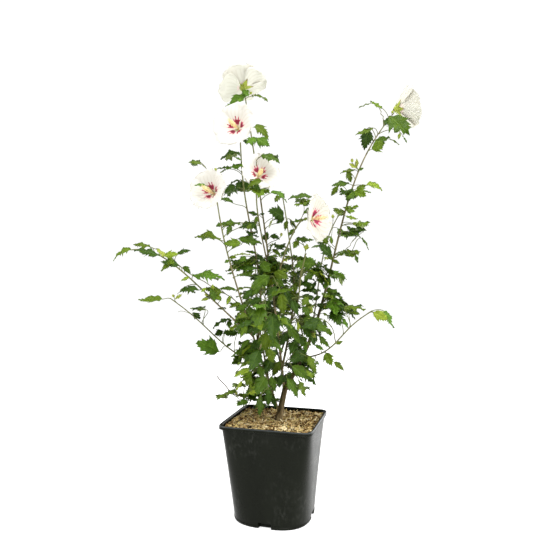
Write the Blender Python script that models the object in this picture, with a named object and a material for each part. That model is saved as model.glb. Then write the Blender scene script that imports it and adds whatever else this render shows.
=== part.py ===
"""Potted hibiscus: an open, many-stemmed rose of Sharon in a square-rimmed nursery pot.

Units are metres and +Z is up. The origin is the middle of the pot's flat underside, and the pot's
front face looks along -Y. The plant's broad side is turned PLANT_TURN from that face, so everything
that grows is laid out in plant axes (x to the plant's right, y to its back) under one turned empty.
"""

import math

import bmesh
import bpy
from mathutils import Matrix, Vector, noise

# ---------------------------------------------------------------- pot
RIM_WIDTH = 0.210  # across the lip, flat to flat
POT_HEIGHT = 0.218
NECK_WIDTH = 0.2030  # just under the lip
BASE_WIDTH = 0.1762  # across the foot, above its rounded edge
RIM_SQUARENESS = 12.0  # superellipse exponent at the rim ...
NECK_SQUARENESS = 9.0
BASE_SQUARENESS = 2.73  # ... and at the nearly round foot
LIP_HEIGHT = 0.0085
WALL = 0.0020
FLOOR = 0.0030
FOOT_STEP_HEIGHT = 0.0058  # the moulded step above the foot
FOOT_STEP = 0.0009
POT_SIDES = 32
NOTCH_WIDTH, NOTCH_HEIGHT, NOTCH_DEPTH = 0.027, 0.013, 0.009

# ---------------------------------------------------------------- growing medium
MULCH_LEVEL = 0.2090
MULCH_ROUGHNESS = 0.0016
GAP = 0.0003  # left between solids that touch

# ---------------------------------------------------------------- plant
PLANT_TURN = math.radians(14.8)
TRUNK_FLARE = 0.0030  # extra radius where the trunk meets the mulch
FLARE_REACH = 0.20  # share of the trunk over which the flare dies away
TAPER = 0.55  # below 1, a limb thins more quickly near its base
CLEAR = 0.00045  # how far a limb's cutter stands proud of the limb

# Each limb: what it leaves, the share along that limb, its tip, how far its middle is bowed off the
# straight line and how far it sways to either side (all plant axes, millimetres), its radius at the
# base and at the tip, the number of lengths it is drawn in, and the mass that it ends in.
LIMBS = {
    "trunk": (None, 0.0, (22, 0, 285), (-1, 0, 0), (0, 0, 0), 7.2, 6.2, 6, None),
    "right_stem": ("trunk", 1.0, (278, 49, 931), (-10, 20, -3), (8, 0, -34), 6.0, 1.4, 16, None),
    "centre_stem": ("trunk", 0.90, (-76, 33, 967), (4, 0, 4), (1, 0, -8), 3.4, 1.3, 14, None),
    "left_stem": ("trunk", 0.20, (-128, -82, 709), (-13, 1, 6), (6, 0, -10), 3.1, 1.3, 12, None),
    "second_flower_stem": ("left_stem", 0.34, (-83, -19, 864), (11, 10, -5), (10, 0, -5), 2.6, 1.4, 12, None),
    "third_flower_stem": ("centre_stem", 0.32, (-43, -36, 752), (-7, 1, 1), (5, 0, -11), 2.2, 1.4, 8, None),
    "fifth_flower_stem": ("centre_stem", 0.29, (65, -52, 670), (-15, -9, 11), (-4, 0, -16), 2.2, 1.4, 8, None),
    "inner_stem": ("centre_stem", 0.08, (15, 70, 730), (27, 30, 19), (4, 0, 13), 2.8, 1.3, 12, None),
    "short_inner_stem": ("inner_stem", 0.20, (65, -60, 592), (2, -16, 0), (3, 2, -1), 2.0, 1.2, 7, "right_centre"),
    "right_inner_stem": ("right_stem", 0.17, (156, 90, 697), (-9, 20, -9), (4, 0, -18), 2.2, 1.2, 9, None),
    "upper_left_bough": ("left_stem", 0.38, (-306, -100, 596), (1, 1, 26), (10, 0, -18), 2.3, 1.2, 10, "far_left"),
    "lower_left_bough": ("left_stem", 0.24, (-256, 78, 485), (-5, 1, -7), (-2, 0, -5), 2.1, 1.2, 8, "lower_left_tip"),
    "right_bough": ("right_stem", 0.15, (205, -76, 468), (7, 1, -10), (3, 0, -7), 2.0, 1.2, 7, "right_far_tip"),
    "back_left_bough": ("left_stem", 0.16, (-55, 185, 590), (-8, 26, -18), (0, 6, 4), 2.5, 1.2, 9, "back_left"),
    "back_right_bough": ("centre_stem", 0.13, (55, 176, 585), (10, 24, -16), (0, -5, 4), 2.5, 1.2, 9, "back_right"),
    "back_bough": ("centre_stem", 0.05, (-30, 258, 538), (-6, 24, -24), (5, 6, 0), 2.3, 1.2, 9, "back_far"),
    "front_bough": ("left_stem", 0.30, (-25, -208, 495), (6, -22, -14), (-4, -4, 3), 2.2, 1.2, 9, "front_far"),
}

# Each mass of leaves: its middle and its half sizes (plant axes, millimetres), and how far it is
# tipped, in degrees, raising its right-hand end.
MASSES = {
    "far_left": ((-312, -95, 588), (56, 30, 19), 4),
    "left_outer": ((-225, -80, 580), (36, 38, 27), -22),
    "left_mid": ((-155, -60, 540), (46, 36, 19), -12),
    "left_inner": ((-92, -50, 500), (68, 40, 24), -8),
    "lower_left_tip": ((-262, 75, 494), (74, 28, 17), 8),
    "lower_left_mid": ((-135, 35, 395), (44, 34, 38), -18),
    "upper_left_band": ((-100, -55, 632), (70, 36, 25), -6),
    "left_neck": ((-76, -30, 567), (42, 38, 22), -14),
    "top_shoot": ((-68, 14, 945), (46, 24, 17), 0),
    "upper_shoot": ((-42, 20, 862), (28, 26, 28), 0),
    "left_high": ((-130, 6, 793), (62, 26, 22), 4),
    "under_third_flower": ((-45, 8, 738), (84, 40, 22), -3),
    "centre_high": ((26, 4, 690), (50, 40, 33), 6),
    "centre_upper": ((20, 15, 612), (60, 52, 32), 0),
    "right_tip": ((218, 47, 946), (32, 20, 13), -22),
    "right_high": ((248, 46, 872), (52, 34, 38), 22),
    "right_upper": ((187, 50, 762), (54, 40, 48), 18),
    "right_middle": ((176, 45, 662), (42, 42, 44), 10),
    "right_inner_high": ((150, 65, 598), (64, 42, 24), 10),
    "right_centre": ((100, 25, 545), (62, 48, 34), 4),
    "right_low": ((153, 15, 472), (54, 42, 32), 10),
    "right_far_tip": ((224, -80, 457), (38, 26, 22), -18),
    "right_low_outer": ((136, -50, 376), (30, 30, 38), -14),
    "centre_a": ((-15, -5, 548), (42, 55, 34), 0),
    "front_leafy": ((-14, -106, 440), (34, 40, 34), 0),
    "centre_right_low": ((80, -15, 420), (46, 52, 32), -12),
    "centre_left": ((-66, -25, 442), (40, 52, 34), 0),
    "centre_b": ((22, 20, 482), (42, 62, 35), 0),
    "low_left": ((-60, -30, 368), (34, 48, 32), 0),
    "foot_left": ((-46, 2, 296), (38, 45, 50), 12),
    "foot_right": ((62, 0, 330), (36, 50, 54), -14),
    "back_left": ((-55, 195, 597), (46, 50, 36), 0),
    "back_right": ((56, 184, 592), (46, 50, 36), 0),
    "back_far": ((-31, 270, 545), (50, 48, 40), 0),
    "front_far": ((-26, -218, 500), (36, 46, 27), 0),
}

# Each bloom: the middle of its calyx's foot (plant axes, millimetres), the way it faces, its radius
# across the petals and how far the petals stand forward.
BLOOMS = {
    "first_bloom": ((-80, 35, 977), (-0.06, 0.46, 0.88), 58, 30),
    "second_bloom": ((-84, -22, 868), (-0.34, -0.91, 0.20), 53, 36),
    "third_bloom": ((-42, -40, 760), (0.22, -0.93, 0.26), 43, 34),
    "fourth_bloom": ((-130, -85, 715), (-0.40, -0.87, 0.20), 44, 36),
    "fifth_bloom": ((68, -54, 667), (0.86, -0.50, 0.05), 54, 30),
    "sixth_bloom": ((277, 50, 938), (0.93, 0.22, 0.24), 50, 46),
}
PETALS = 5
BLOOM_SIDES = 10
COLUMN_LENGTH, COLUMN_RADIUS = 0.030, 0.0035
CALYX_RADIUS = 0.0070

NECK_Z = POT_HEIGHT - LIP_HEIGHT
WALL_LEVELS = (0.070, 0.140, MULCH_LEVEL - 0.001)  # shared by the wall and what fills it

bpy.context.view_layer.update()
for leftover in list(bpy.data.objects):
    bpy.data.objects.remove(leftover, do_unlink=True)
bpy.context.scene.unit_settings.system = "METRIC"


# ---------------------------------------------------------------- helpers
def collection(name, helper=False):
    made = bpy.data.collections.new(name)
    bpy.context.scene.collection.children.link(made)
    made.hide_render = helper
    return made


PART = collection("potted_hibiscus")
CUTTERS = collection("cutters", helper=True)


def material(name, colour, roughness, metallic=0.0):
    made = bpy.data.materials.new(name)
    made.use_nodes = True
    shader = made.node_tree.nodes["Principled BSDF"]
    shader.inputs["Base Color"].default_value = (*colour, 1.0)
    shader.inputs["Roughness"].default_value = roughness
    shader.inputs["Metallic"].default_value = metallic
    made.diffuse_color = (*colour, 1.0)
    return made


def add(name, mesh, paint=None, parent=None, into=PART):
    made = bpy.data.objects.new(name, mesh)
    into.objects.link(made)
    if paint is not None:
        mesh.materials.clear()
        mesh.materials.append(paint)
    made.parent = parent
    return made


def shade(mesh, degrees=40):
    mesh.shade_smooth()
    mesh.set_sharp_from_angle(angle=math.radians(degrees))


def loft(name, rings, first_apex=None, last_apex=None):
    """A closed mesh through rings of equally many points, each end closed by a fan or by an apex."""
    build = bmesh.new()
    rows = [[build.verts.new(p) for p in ring] for ring in rings]
    count = len(rows[0])
    for lower, upper in zip(rows, rows[1:]):
        for i in range(count):
            j = (i + 1) % count
            build.faces.new((lower[i], lower[j], upper[j], upper[i]))
    for row, apex, flip in ((rows[0], first_apex, True), (rows[-1], last_apex, False)):
        if apex is None:
            apex = sum((v.co for v in row), Vector()) / count
        tip = build.verts.new(apex)
        for i in range(count):
            j = (i + 1) % count
            build.faces.new((row[j], row[i], tip) if flip else (row[i], row[j], tip))
    bmesh.ops.recalc_face_normals(build, faces=build.faces)
    bmesh.ops.triangulate(build, faces=build.faces)
    mesh = bpy.data.meshes.new(name)
    build.to_mesh(mesh)
    build.free()
    return mesh


def outline(width, squareness, z, count=POT_SIDES):
    """One level of the pot: a rounded square that turns into a circle as the squareness falls to 2."""
    ring = []
    for k in range(count):
        angle = math.tau * (k + 0.5) / count
        c, s = abs(math.cos(angle)), abs(math.sin(angle))
        reach = width / 2 * (c**squareness + s**squareness) ** (-1 / squareness)
        ring.append(Vector((reach * math.cos(angle), reach * math.sin(angle), z)))
    return ring


def body_level(z, inset=0.0):
    """The pot's wall at a height: its width and its squareness."""
    share = min(1.0, max(0.0, z / NECK_Z))
    width = BASE_WIDTH + (NECK_WIDTH - BASE_WIDTH) * share
    squareness = 1 / (1 / BASE_SQUARENESS + (1 / NECK_SQUARENESS - 1 / BASE_SQUARENESS) * share)
    return width - 2 * inset, squareness


# ---------------------------------------------------------------- pot and growing medium
pot_paint = material("pot_plastic", (0.016, 0.018, 0.015), 0.42)
medium_paint = material("bark_mulch", (0.36, 0.24, 0.13), 0.95)
bark_paint = material("hibiscus_bark", (0.23, 0.18, 0.12), 0.80)
leaf_paint = material("hibiscus_leaf", (0.06, 0.16, 0.03), 0.50)
bloom_paint = material("hibiscus_bloom", (0.90, 0.87, 0.82), 0.55)


def pot_mesh():
    edge = 0.0022
    rings = [outline(BASE_WIDTH - 2 * edge, BASE_SQUARENESS, 0.0)]
    width, squareness = body_level(edge)
    rings.append(outline(width, squareness, edge))
    width, squareness = body_level(FOOT_STEP_HEIGHT)
    rings.append(outline(width, squareness, FOOT_STEP_HEIGHT))
    rings.append(outline(width - 2 * FOOT_STEP, squareness, FOOT_STEP_HEIGHT + 0.0006))
    for z in (*WALL_LEVELS[:-1], NECK_Z):
        rings.append(outline(*body_level(z), z))
    rings.append(outline(RIM_WIDTH, RIM_SQUARENESS, NECK_Z + 0.0004))
    rings.append(outline(RIM_WIDTH, RIM_SQUARENESS, POT_HEIGHT - 0.0012))
    rings.append(outline(RIM_WIDTH - 0.0026, RIM_SQUARENESS, POT_HEIGHT))
    rings.append(outline(*body_level(POT_HEIGHT, WALL), POT_HEIGHT))
    for z in (*reversed(WALL_LEVELS), FLOOR):
        rings.append(outline(*body_level(z, WALL), z))
    return loft("pot", rings)


def notch_cutters(parent, grown=0.0, upto=0.0):
    """Four drainage notches, one in the middle of each side of the foot."""
    cutters = []
    for k in range(4):
        build = bmesh.new()
        bmesh.ops.create_cube(build, size=1.0)
        size = (NOTCH_WIDTH + 2 * grown, 2 * (NOTCH_DEPTH + grown), 2 * (NOTCH_HEIGHT + grown))
        bmesh.ops.scale(build, vec=size, verts=build.verts)
        bmesh.ops.rotate(build, cent=(0, 0, 0), matrix=Matrix.Rotation(0, 3, "Z"), verts=build.verts)
        mesh = bpy.data.meshes.new(f"{parent}_notch_{k}")
        build.to_mesh(mesh)
        build.free()
        cutter = add(f"{parent}_notch_{k}", mesh, into=CUTTERS)
        angle = math.tau * k / 4
        reach = BASE_WIDTH / 2
        cutter.location = (reach * math.sin(angle), -reach * math.cos(angle), 0)
        cutter.rotation_euler.z = angle
        cutter.hide_render = True
        cutter.display_type = "WIRE"
        cutters.append(cutter)
    return cutters


def cut(target, cutters):
    for cutter in cutters:
        step = target.modifiers.new(cutter.name, "BOOLEAN")
        step.operation = "DIFFERENCE"
        step.solver = "EXACT"
        step.object = cutter


pot = add("pot", pot_mesh(), pot_paint)
shade(pot.data)
cut(pot, notch_cutters("pot"))


def medium_mesh():
    rings = [
        outline(*body_level(z, WALL + GAP), z)
        for z in (FLOOR + GAP, *WALL_LEVELS)
    ]
    edge = rings[-1]
    for share in (0.80, 0.48):
        ring = []
        for p in edge:
            q = Vector((p.x * share, p.y * share, 0))
            level = MULCH_LEVEL + MULCH_ROUGHNESS * noise.noise(Vector((q.x * 60, q.y * 60, 3.1)))
            ring.append(Vector((q.x, q.y, level)))
        rings.append(ring)
    rings.append([Vector((p.x * 0.20, p.y * 0.20, MULCH_LEVEL)) for p in edge])
    return loft("growing_medium", rings)


medium = add("growing_medium", medium_mesh(), medium_paint)
shade(medium.data, 60)
cut(medium, notch_cutters("medium", grown=0.0006))


# ---------------------------------------------------------------- limbs
plant_axes = bpy.data.objects.new("plant_axes", None)
plant_axes.rotation_euler.z = PLANT_TURN
PART.objects.link(plant_axes)


def metres(triple):
    return Vector(triple) / 1000


def limb_start(name):
    parent, at = LIMBS[name][:2]
    if parent is None:
        return Vector((0.008, 0.0, MULCH_LEVEL + GAP))
    return limb_point(parent, at)


def limb_point(name, share):
    """The limb's centre line: a straight line from its start to its tip, bowed and swayed."""
    tip, bow, sway = (metres(v) for v in LIMBS[name][2:5])
    start = limb_start(name)
    bent = bow * (4 * share * (1 - share)) + sway * math.sin(math.tau * share)
    return start.lerp(tip, share) + bent


def limb_radius(name, share):
    thick, thin = LIMBS[name][5:7]
    radius = (thick + (thin - thick) * share ** (0.85 if name == "trunk" else TAPER)) / 1000
    if name == "trunk":
        radius += TRUNK_FLARE * math.exp(-share / FLARE_REACH)
    return radius


def limb_object(name, grown=0.0, begin=0.0, end=1.0):
    """A tapering tube on the limb's centre line, as a welded mesh in plant axes."""
    lengths = LIMBS[name][7]
    curve = bpy.data.curves.new(name, "CURVE")
    curve.dimensions = "3D"
    curve.bevel_depth = 1.0
    curve.bevel_resolution = 2 if name == "trunk" else 1
    curve.use_fill_caps = True
    curve.twist_mode = "MINIMUM"
    line = curve.splines.new("POLY")
    line.points.add(lengths)
    for k, point in enumerate(line.points):
        share = begin + (end - begin) * k / lengths
        point.co = (*limb_point(name, share), 1.0)
        point.radius = limb_radius(name, share) + grown
    drawn = bpy.data.objects.new(name, curve)
    bpy.context.scene.collection.objects.link(drawn)
    bpy.context.view_layer.update()
    graph = bpy.context.evaluated_depsgraph_get()
    mesh = bpy.data.meshes.new_from_object(drawn.evaluated_get(graph))
    bpy.data.objects.remove(drawn)
    bpy.data.curves.remove(curve)
    build = bmesh.new()
    build.from_mesh(mesh)
    bmesh.ops.remove_doubles(build, verts=build.verts, dist=1e-6)
    bmesh.ops.recalc_face_normals(build, faces=build.faces)
    if name == "trunk":  # a flat cut at ground level
        foot = min(v.co.z for v in build.verts)
        low = sorted(build.verts, key=lambda v: v.co.z)[:8]
        for v in low:
            v.co.z = MULCH_LEVEL + GAP - (GAP if grown else 0.0)
    build.to_mesh(mesh)
    build.free()
    return mesh


def largest_island(mesh):
    """Drops the crumbs that a cut leaves beside the main piece."""
    build = bmesh.new()
    build.from_mesh(mesh)
    left, islands = set(build.verts), []
    while left:
        seed = left.pop()
        island, edge = {seed}, [seed]
        while edge:
            v = edge.pop()
            for e in v.link_edges:
                other = e.other_vert(v)
                if other in left:
                    left.discard(other)
                    island.add(other)
                    edge.append(other)
        islands.append(island)
    islands.sort(key=lambda s: (-len(s), min(v.index for v in s)))
    drop = [v for island in islands[1:] for v in island]
    if drop:
        bmesh.ops.delete(build, geom=drop, context="VERTS")
    bmesh.ops.triangulate(build, faces=build.faces)
    build.to_mesh(mesh)
    build.free()
    return mesh


def carved(name, mesh, cutter_meshes):
    """The mesh less each cutter, as one closed piece."""
    work = add(name, mesh, into=CUTTERS)
    helpers = []
    for k, cutter in enumerate(cutter_meshes):
        helper = add(f"{name}_cutter_{k}", cutter, into=CUTTERS)
        helpers.append(helper)
    cut(work, helpers)
    bpy.context.view_layer.update()
    graph = bpy.context.evaluated_depsgraph_get()
    result = bpy.data.meshes.new_from_object(work.evaluated_get(graph))
    for helper in [work, *helpers]:
        data = helper.data
        bpy.data.objects.remove(helper)
        if data.users == 0:
            bpy.data.meshes.remove(data)
    result.name = name
    return largest_island(result)


SAMPLES = {
    name: [(limb_point(name, k / 60), limb_radius(name, k / 60)) for k in range(61)]
    for name in LIMBS
}


def limbs_touch(a, b, margin=0.0015):
    return any(
        (p - q).length < r + s + margin for p, r in SAMPLES[a] for q, s in SAMPLES[b]
    )


# ---------------------------------------------------------------- masses of leaves
def mass_frame(name):
    middle, half, tip_angle = MASSES[name]
    return metres(middle), metres(half), Matrix.Rotation(-math.radians(tip_angle), 3, "Y")


def support(half, turn, direction):
    """How far an ellipsoid of these half sizes reaches along a direction."""
    local = turn.inverted() @ direction
    return math.sqrt(sum((h * d) ** 2 for h, d in zip(half, local)))


BLOOM_FRAMES = {}
for bloom_name, (foot, facing, radius, forward) in BLOOMS.items():
    facing = Vector(facing).normalized()
    BLOOM_FRAMES[bloom_name] = (metres(foot), facing, radius / 1000, forward / 1000)


def mass_points(name, directions):
    """An uneven lump: a tipped ellipsoid, broken up by smooth noise and by lobes like those of the
    leaf sprays, then flattened where a neighbour begins."""
    middle, half, turn = mass_frame(name)
    seed = 7.3 * (sorted(MASSES).index(name) + 1)
    points = []
    for d in directions:
        slow = noise.noise(Vector((d.x * 1.7 + seed, d.y * 1.7, d.z * 1.7)))
        quick = noise.noise(Vector((d.x * 3.9, d.y * 3.9 + seed, d.z * 3.9)))
        swell = 0.97 + 0.22 * slow + 0.16 * quick
        points.append(turn @ Vector((half.x * d.x, half.y * d.y, half.z * d.z)) * swell)
    walls = []
    for other in MASSES:
        if other == name:
            continue
        far, other_half, other_turn = mass_frame(other)
        span = far - middle
        distance = span.length
        along = span / distance
        mine, theirs = support(half, turn, along), support(other_half, other_turn, along)
        if 1.2 * (mine + theirs) > distance:
            walls.append((along, distance * mine / (mine + theirs) - 0.0006))
    for foot, facing, radius, forward in BLOOM_FRAMES.values():
        # A flat wall behind, in front of or beside the petals, whichever the mass is beyond.
        centre = foot + facing * (forward * 0.6)
        span = centre - middle
        depth = span.dot(facing)
        side = span - facing * depth
        if span.length > 0.16:
            continue
        if abs(depth) > 0.6 * side.length:
            along = facing * (1 if depth > 0 else -1)
            reach = abs(depth) - (forward * 0.6 + 0.002 if depth > 0 else COLUMN_LENGTH + 0.008)
        else:
            along = side.normalized()
            reach = side.length - radius * 1.12
        walls.append((along, reach))
    settled = []
    for p in points:
        shrink = 1.0
        for along, reach in walls:
            out = p.dot(along)
            if out * shrink > reach:
                if reach <= 0.002:
                    raise ValueError(f"{name} has no room: {reach * 1000:.1f} mm")
                shrink = reach / out
        settled.append(middle + p * shrink)
    return settled


def mass_mesh(name, grown=0.0):
    build = bmesh.new()
    bmesh.ops.create_uvsphere(build, u_segments=9, v_segments=6, radius=1.0)
    directions = [v.co.normalized() for v in build.verts]
    middle = mass_frame(name)[0]
    for v, p in zip(build.verts, mass_points(name, directions)):
        out = p - middle
        v.co = p + out.normalized() * grown
    bmesh.ops.triangulate(build, faces=build.faces)
    bmesh.ops.recalc_face_normals(build, faces=build.faces)
    mesh = bpy.data.meshes.new(name)
    build.to_mesh(mesh)
    build.free()
    return mesh


def near_mass(limb, mass):
    middle, half, turn = mass_frame(mass)
    back = turn.inverted()
    for p, r in SAMPLES[limb]:
        local = back @ (p - middle)
        if sum((c / (h * 1.45 + r)) ** 2 for c, h in zip(local, half)) < 1:
            return True
    return False


# ---------------------------------------------------------------- blooms
def bloom_mesh(name):
    """A five-lobed funnel with its column, turned to face its own way."""
    foot, facing, radius, forward = BLOOM_FRAMES[name]
    turn = facing.to_track_quat("Z", "Y")
    # height along the axis, radius, and how deeply the five petals lobe it
    profile = (
        (0.000, CALYX_RADIUS * 0.55, 0.0),
        (0.010, CALYX_RADIUS, 0.0),
        (forward * 0.42, radius * 0.50, 0.05),
        (forward, radius * 0.93, 0.10),
        (forward * 0.96, radius * 0.86, 0.10),
        (forward * 0.50, radius * 0.36, 0.03),
        (0.0165, COLUMN_RADIUS * 1.15, 0.0),
        (0.0165 + COLUMN_LENGTH, COLUMN_RADIUS, 0.0),
    )
    rings = []
    for height, reach, lobe in profile:
        ring = []
        for k in range(BLOOM_SIDES):
            angle = math.tau * k / BLOOM_SIDES
            r = reach * (1 + lobe * math.cos(PETALS * angle))
            ring.append(foot + turn @ Vector((r * math.cos(angle), r * math.sin(angle), height)))
        rings.append(ring)
    tip = foot + turn @ Vector((0, 0, 0.0165 + COLUMN_LENGTH + 0.002))
    return loft(name, rings, last_apex=tip)


# ---------------------------------------------------------------- putting the plant together
order = list(LIMBS)
through = {mass: [] for mass in MASSES}
for k, name in enumerate(order):
    ends_in = LIMBS[name][8]
    cutters = [
        limb_object(other, grown=CLEAR) for other in order[:k] if limbs_touch(name, other)
    ]
    if ends_in:
        cutters.append(mass_mesh(ends_in, grown=0.0008))
    for mass in MASSES:
        if mass != ends_in and near_mass(name, mass):
            through[mass].append(name)
    mesh = limb_object(name)
    if cutters:
        mesh = carved(name, mesh, cutters)
    shade(mesh, 50)
    add(name, mesh, bark_paint, plant_axes)

for name in MASSES:
    mesh = mass_mesh(name)
    if through[name]:
        mesh = carved(name, mesh, [limb_object(limb, grown=CLEAR) for limb in through[name]])
    shade(mesh, 30)
    add(f"{name}_leaves", mesh, leaf_paint, plant_axes)

for name in BLOOMS:
    mesh = bloom_mesh(name)
    shade(mesh, 40)
    add(name, mesh, bloom_paint, plant_axes)

for spare in [m for m in bpy.data.meshes if m.users == 0]:
    bpy.data.meshes.remove(spare)
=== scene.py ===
"""The looks of the potted hibiscus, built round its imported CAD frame.

Everything that grows is laid out in plant axes (x to the plant's right, y to its back, z up) and
turned PLANT_TURN into the frame. Leaves, flower parts and twigs that are placed by a spot seen from
the front are put there with at(u, v, depth), and every one of them is then grown onto the nearest
limb or twig by join_to_wood().
"""

import math

import bpy
import numpy as np
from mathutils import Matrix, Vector, noise


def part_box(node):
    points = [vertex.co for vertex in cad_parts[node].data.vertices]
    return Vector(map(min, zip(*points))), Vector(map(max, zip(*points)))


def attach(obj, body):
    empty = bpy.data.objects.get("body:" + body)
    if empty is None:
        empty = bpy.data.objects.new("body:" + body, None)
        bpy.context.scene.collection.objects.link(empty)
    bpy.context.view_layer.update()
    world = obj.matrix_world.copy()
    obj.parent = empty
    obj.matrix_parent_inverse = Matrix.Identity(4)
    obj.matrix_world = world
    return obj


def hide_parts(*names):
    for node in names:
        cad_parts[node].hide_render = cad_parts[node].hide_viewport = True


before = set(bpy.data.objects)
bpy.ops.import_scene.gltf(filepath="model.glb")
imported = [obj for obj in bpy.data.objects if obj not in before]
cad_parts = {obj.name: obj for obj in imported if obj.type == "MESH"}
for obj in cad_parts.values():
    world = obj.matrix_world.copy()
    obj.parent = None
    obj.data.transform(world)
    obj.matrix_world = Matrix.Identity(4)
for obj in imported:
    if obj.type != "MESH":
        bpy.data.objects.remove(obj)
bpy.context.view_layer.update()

# ---------------------------------------------------------------- the frame's own sizes, in metres
PLANT_TURN = math.radians(14.8)
RIM_WIDTH, POT_HEIGHT = 0.210, 0.218
NECK_WIDTH, BASE_WIDTH = 0.2030, 0.1762
RIM_SQUARENESS, NECK_SQUARENESS, BASE_SQUARENESS = 12.0, 9.0, 2.73
LIP_HEIGHT, WALL, FLOOR_THICK = 0.0085, 0.0020, 0.0030
FOOT_STEP_HEIGHT, FOOT_STEP = 0.0058, 0.0009
NOTCH_WIDTH, NOTCH_HEIGHT, NOTCH_DEPTH = 0.027, 0.013, 0.009
MULCH_LEVEL, GAP = 0.2090, 0.0003
NECK_Z = POT_HEIGHT - LIP_HEIGHT
TRUNK_FLARE, FLARE_REACH, TAPER = 0.0030, 0.20, 0.55

# what each limb leaves, the share along it, tip, bow, sway (millimetres), radius at base and tip
LIMBS = {
    "trunk": (None, 0.0, (22, 0, 285), (-1, 0, 0), (0, 0, 0), 7.2, 6.2),
    "right_stem": ("trunk", 1.0, (278, 49, 931), (-10, 20, -3), (8, 0, -34), 6.0, 1.4),
    "centre_stem": ("trunk", 0.90, (-76, 33, 967), (4, 0, 4), (1, 0, -8), 3.4, 1.3),
    "left_stem": ("trunk", 0.20, (-128, -82, 709), (-13, 1, 6), (6, 0, -10), 3.1, 1.3),
    "second_flower_stem": ("left_stem", 0.34, (-83, -19, 864), (11, 10, -5), (10, 0, -5), 2.6, 1.4),
    "third_flower_stem": ("centre_stem", 0.32, (-43, -36, 752), (-7, 1, 1), (5, 0, -11), 2.2, 1.4),
    "fifth_flower_stem": ("centre_stem", 0.29, (65, -52, 670), (-15, -9, 11), (-4, 0, -16), 2.2, 1.4),
    "inner_stem": ("centre_stem", 0.08, (15, 70, 730), (27, 30, 19), (4, 0, 13), 2.8, 1.3),
    "short_inner_stem": ("inner_stem", 0.20, (65, -60, 592), (2, -16, 0), (3, 2, -1), 2.0, 1.2),
    "right_inner_stem": ("right_stem", 0.17, (156, 90, 697), (-9, 20, -9), (4, 0, -18), 2.2, 1.2),
    "upper_left_bough": ("left_stem", 0.38, (-306, -100, 596), (1, 1, 26), (10, 0, -18), 2.3, 1.2),
    "lower_left_bough": ("left_stem", 0.24, (-256, 78, 485), (-5, 1, -7), (-2, 0, -5), 2.1, 1.2),
    "right_bough": ("right_stem", 0.15, (205, -76, 468), (7, 1, -10), (3, 0, -7), 2.0, 1.2),
    "back_left_bough": ("left_stem", 0.16, (-55, 185, 590), (-8, 26, -18), (0, 6, 4), 2.5, 1.2),
    "back_right_bough": ("centre_stem", 0.13, (55, 176, 585), (10, 24, -16), (0, -5, 4), 2.5, 1.2),
    "back_bough": ("centre_stem", 0.05, (-30, 258, 538), (-6, 24, -24), (5, 6, 0), 2.3, 1.2),
    "front_bough": ("left_stem", 0.30, (-25, -208, 495), (6, -22, -14), (-4, -4, 3), 2.2, 1.2),
}


# ---------------------------------------------------------------- the point of view
# A camera at the subject's own height, square to the plant's broad side, a little pitched and rolled.
FOCAL, MIDDLE = 543.57, 276.5  # in pixels of a 553-pixel frame
EYE = Vector((0.0007, -1.2438, 0.5512))  # plant axes
PITCH, ROLL = 0.0083, 0.0052


def at(u, v, depth):
    """The point in plant axes that is seen at (u, v) and lies depth millimetres behind the trunk."""
    a, b = u - MIDDLE, v - MIDDLE
    right = (a * math.cos(ROLL) + b * math.sin(ROLL)) / FOCAL
    up = -(-a * math.sin(ROLL) + b * math.cos(ROLL)) / FOCAL
    ray = Vector((right, math.cos(PITCH) + up * math.sin(PITCH), up * math.cos(PITCH) - math.sin(PITCH)))
    return EYE + ray * ((depth / 1000 - EYE.y) / ray.y)


def camera():
    lens = bpy.data.cameras.new("camera")
    lens.sensor_width = 36.0
    lens.lens = FOCAL / 553 * 36.0
    lens.clip_start, lens.clip_end = 0.01, 100.0
    eye = bpy.data.objects.new("camera", lens)
    bpy.context.scene.collection.objects.link(eye)
    turn = math.radians(14.8)
    c, s = math.cos(turn), math.sin(turn)
    eye.location = (EYE.x * c - EYE.y * s, EYE.x * s + EYE.y * c, EYE.z)
    look = Vector((-s * math.cos(PITCH), c * math.cos(PITCH), -math.sin(PITCH)))
    quat = look.to_track_quat("-Z", "Y")
    eye.rotation_mode = "QUATERNION"
    from mathutils import Quaternion

    eye.rotation_quaternion = quat @ Quaternion((0, 0, 1), ROLL)
    bpy.context.scene.camera = eye


# ---------------------------------------------------------------- materials
def material(name, colour, roughness, build=None, **sockets):
    made = bpy.data.materials.new(name)
    made.use_nodes = True
    shader = made.node_tree.nodes["Principled BSDF"]
    shader.inputs["Base Color"].default_value = (*colour, 1.0)
    shader.inputs["Roughness"].default_value = roughness
    for key, value in sockets.items():
        shader.inputs[key.replace("_", " ")].default_value = value
    made.diffuse_color = (*colour, 1.0)
    if build:
        build(made.node_tree, shader)
    return made


def coordinates(tree):
    return tree.nodes.new("ShaderNodeTexCoord").outputs["Object"]


def noise_node(tree, scale, detail=4.0, rough=0.55, stretch=None):
    node = tree.nodes.new("ShaderNodeTexNoise")
    node.inputs["Scale"].default_value = scale
    node.inputs["Detail"].default_value = detail
    node.inputs["Roughness"].default_value = rough
    source = coordinates(tree)
    if stretch:
        mapping = tree.nodes.new("ShaderNodeMapping")
        mapping.inputs["Scale"].default_value = stretch
        tree.links.new(source, mapping.inputs["Vector"])
        source = mapping.outputs["Vector"]
    tree.links.new(source, node.inputs["Vector"])
    return node.outputs["Fac"]


def ramp(tree, source, stops):
    node = tree.nodes.new("ShaderNodeValToRGB")
    line = node.color_ramp
    while len(line.elements) < len(stops):
        line.elements.new(0.5)
    for element, (place, colour) in zip(line.elements, stops):
        element.position = place
        element.color = (*colour, 1.0) if len(colour) == 3 else colour
    tree.links.new(source, node.inputs["Fac"])
    return node.outputs["Color"]


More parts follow.
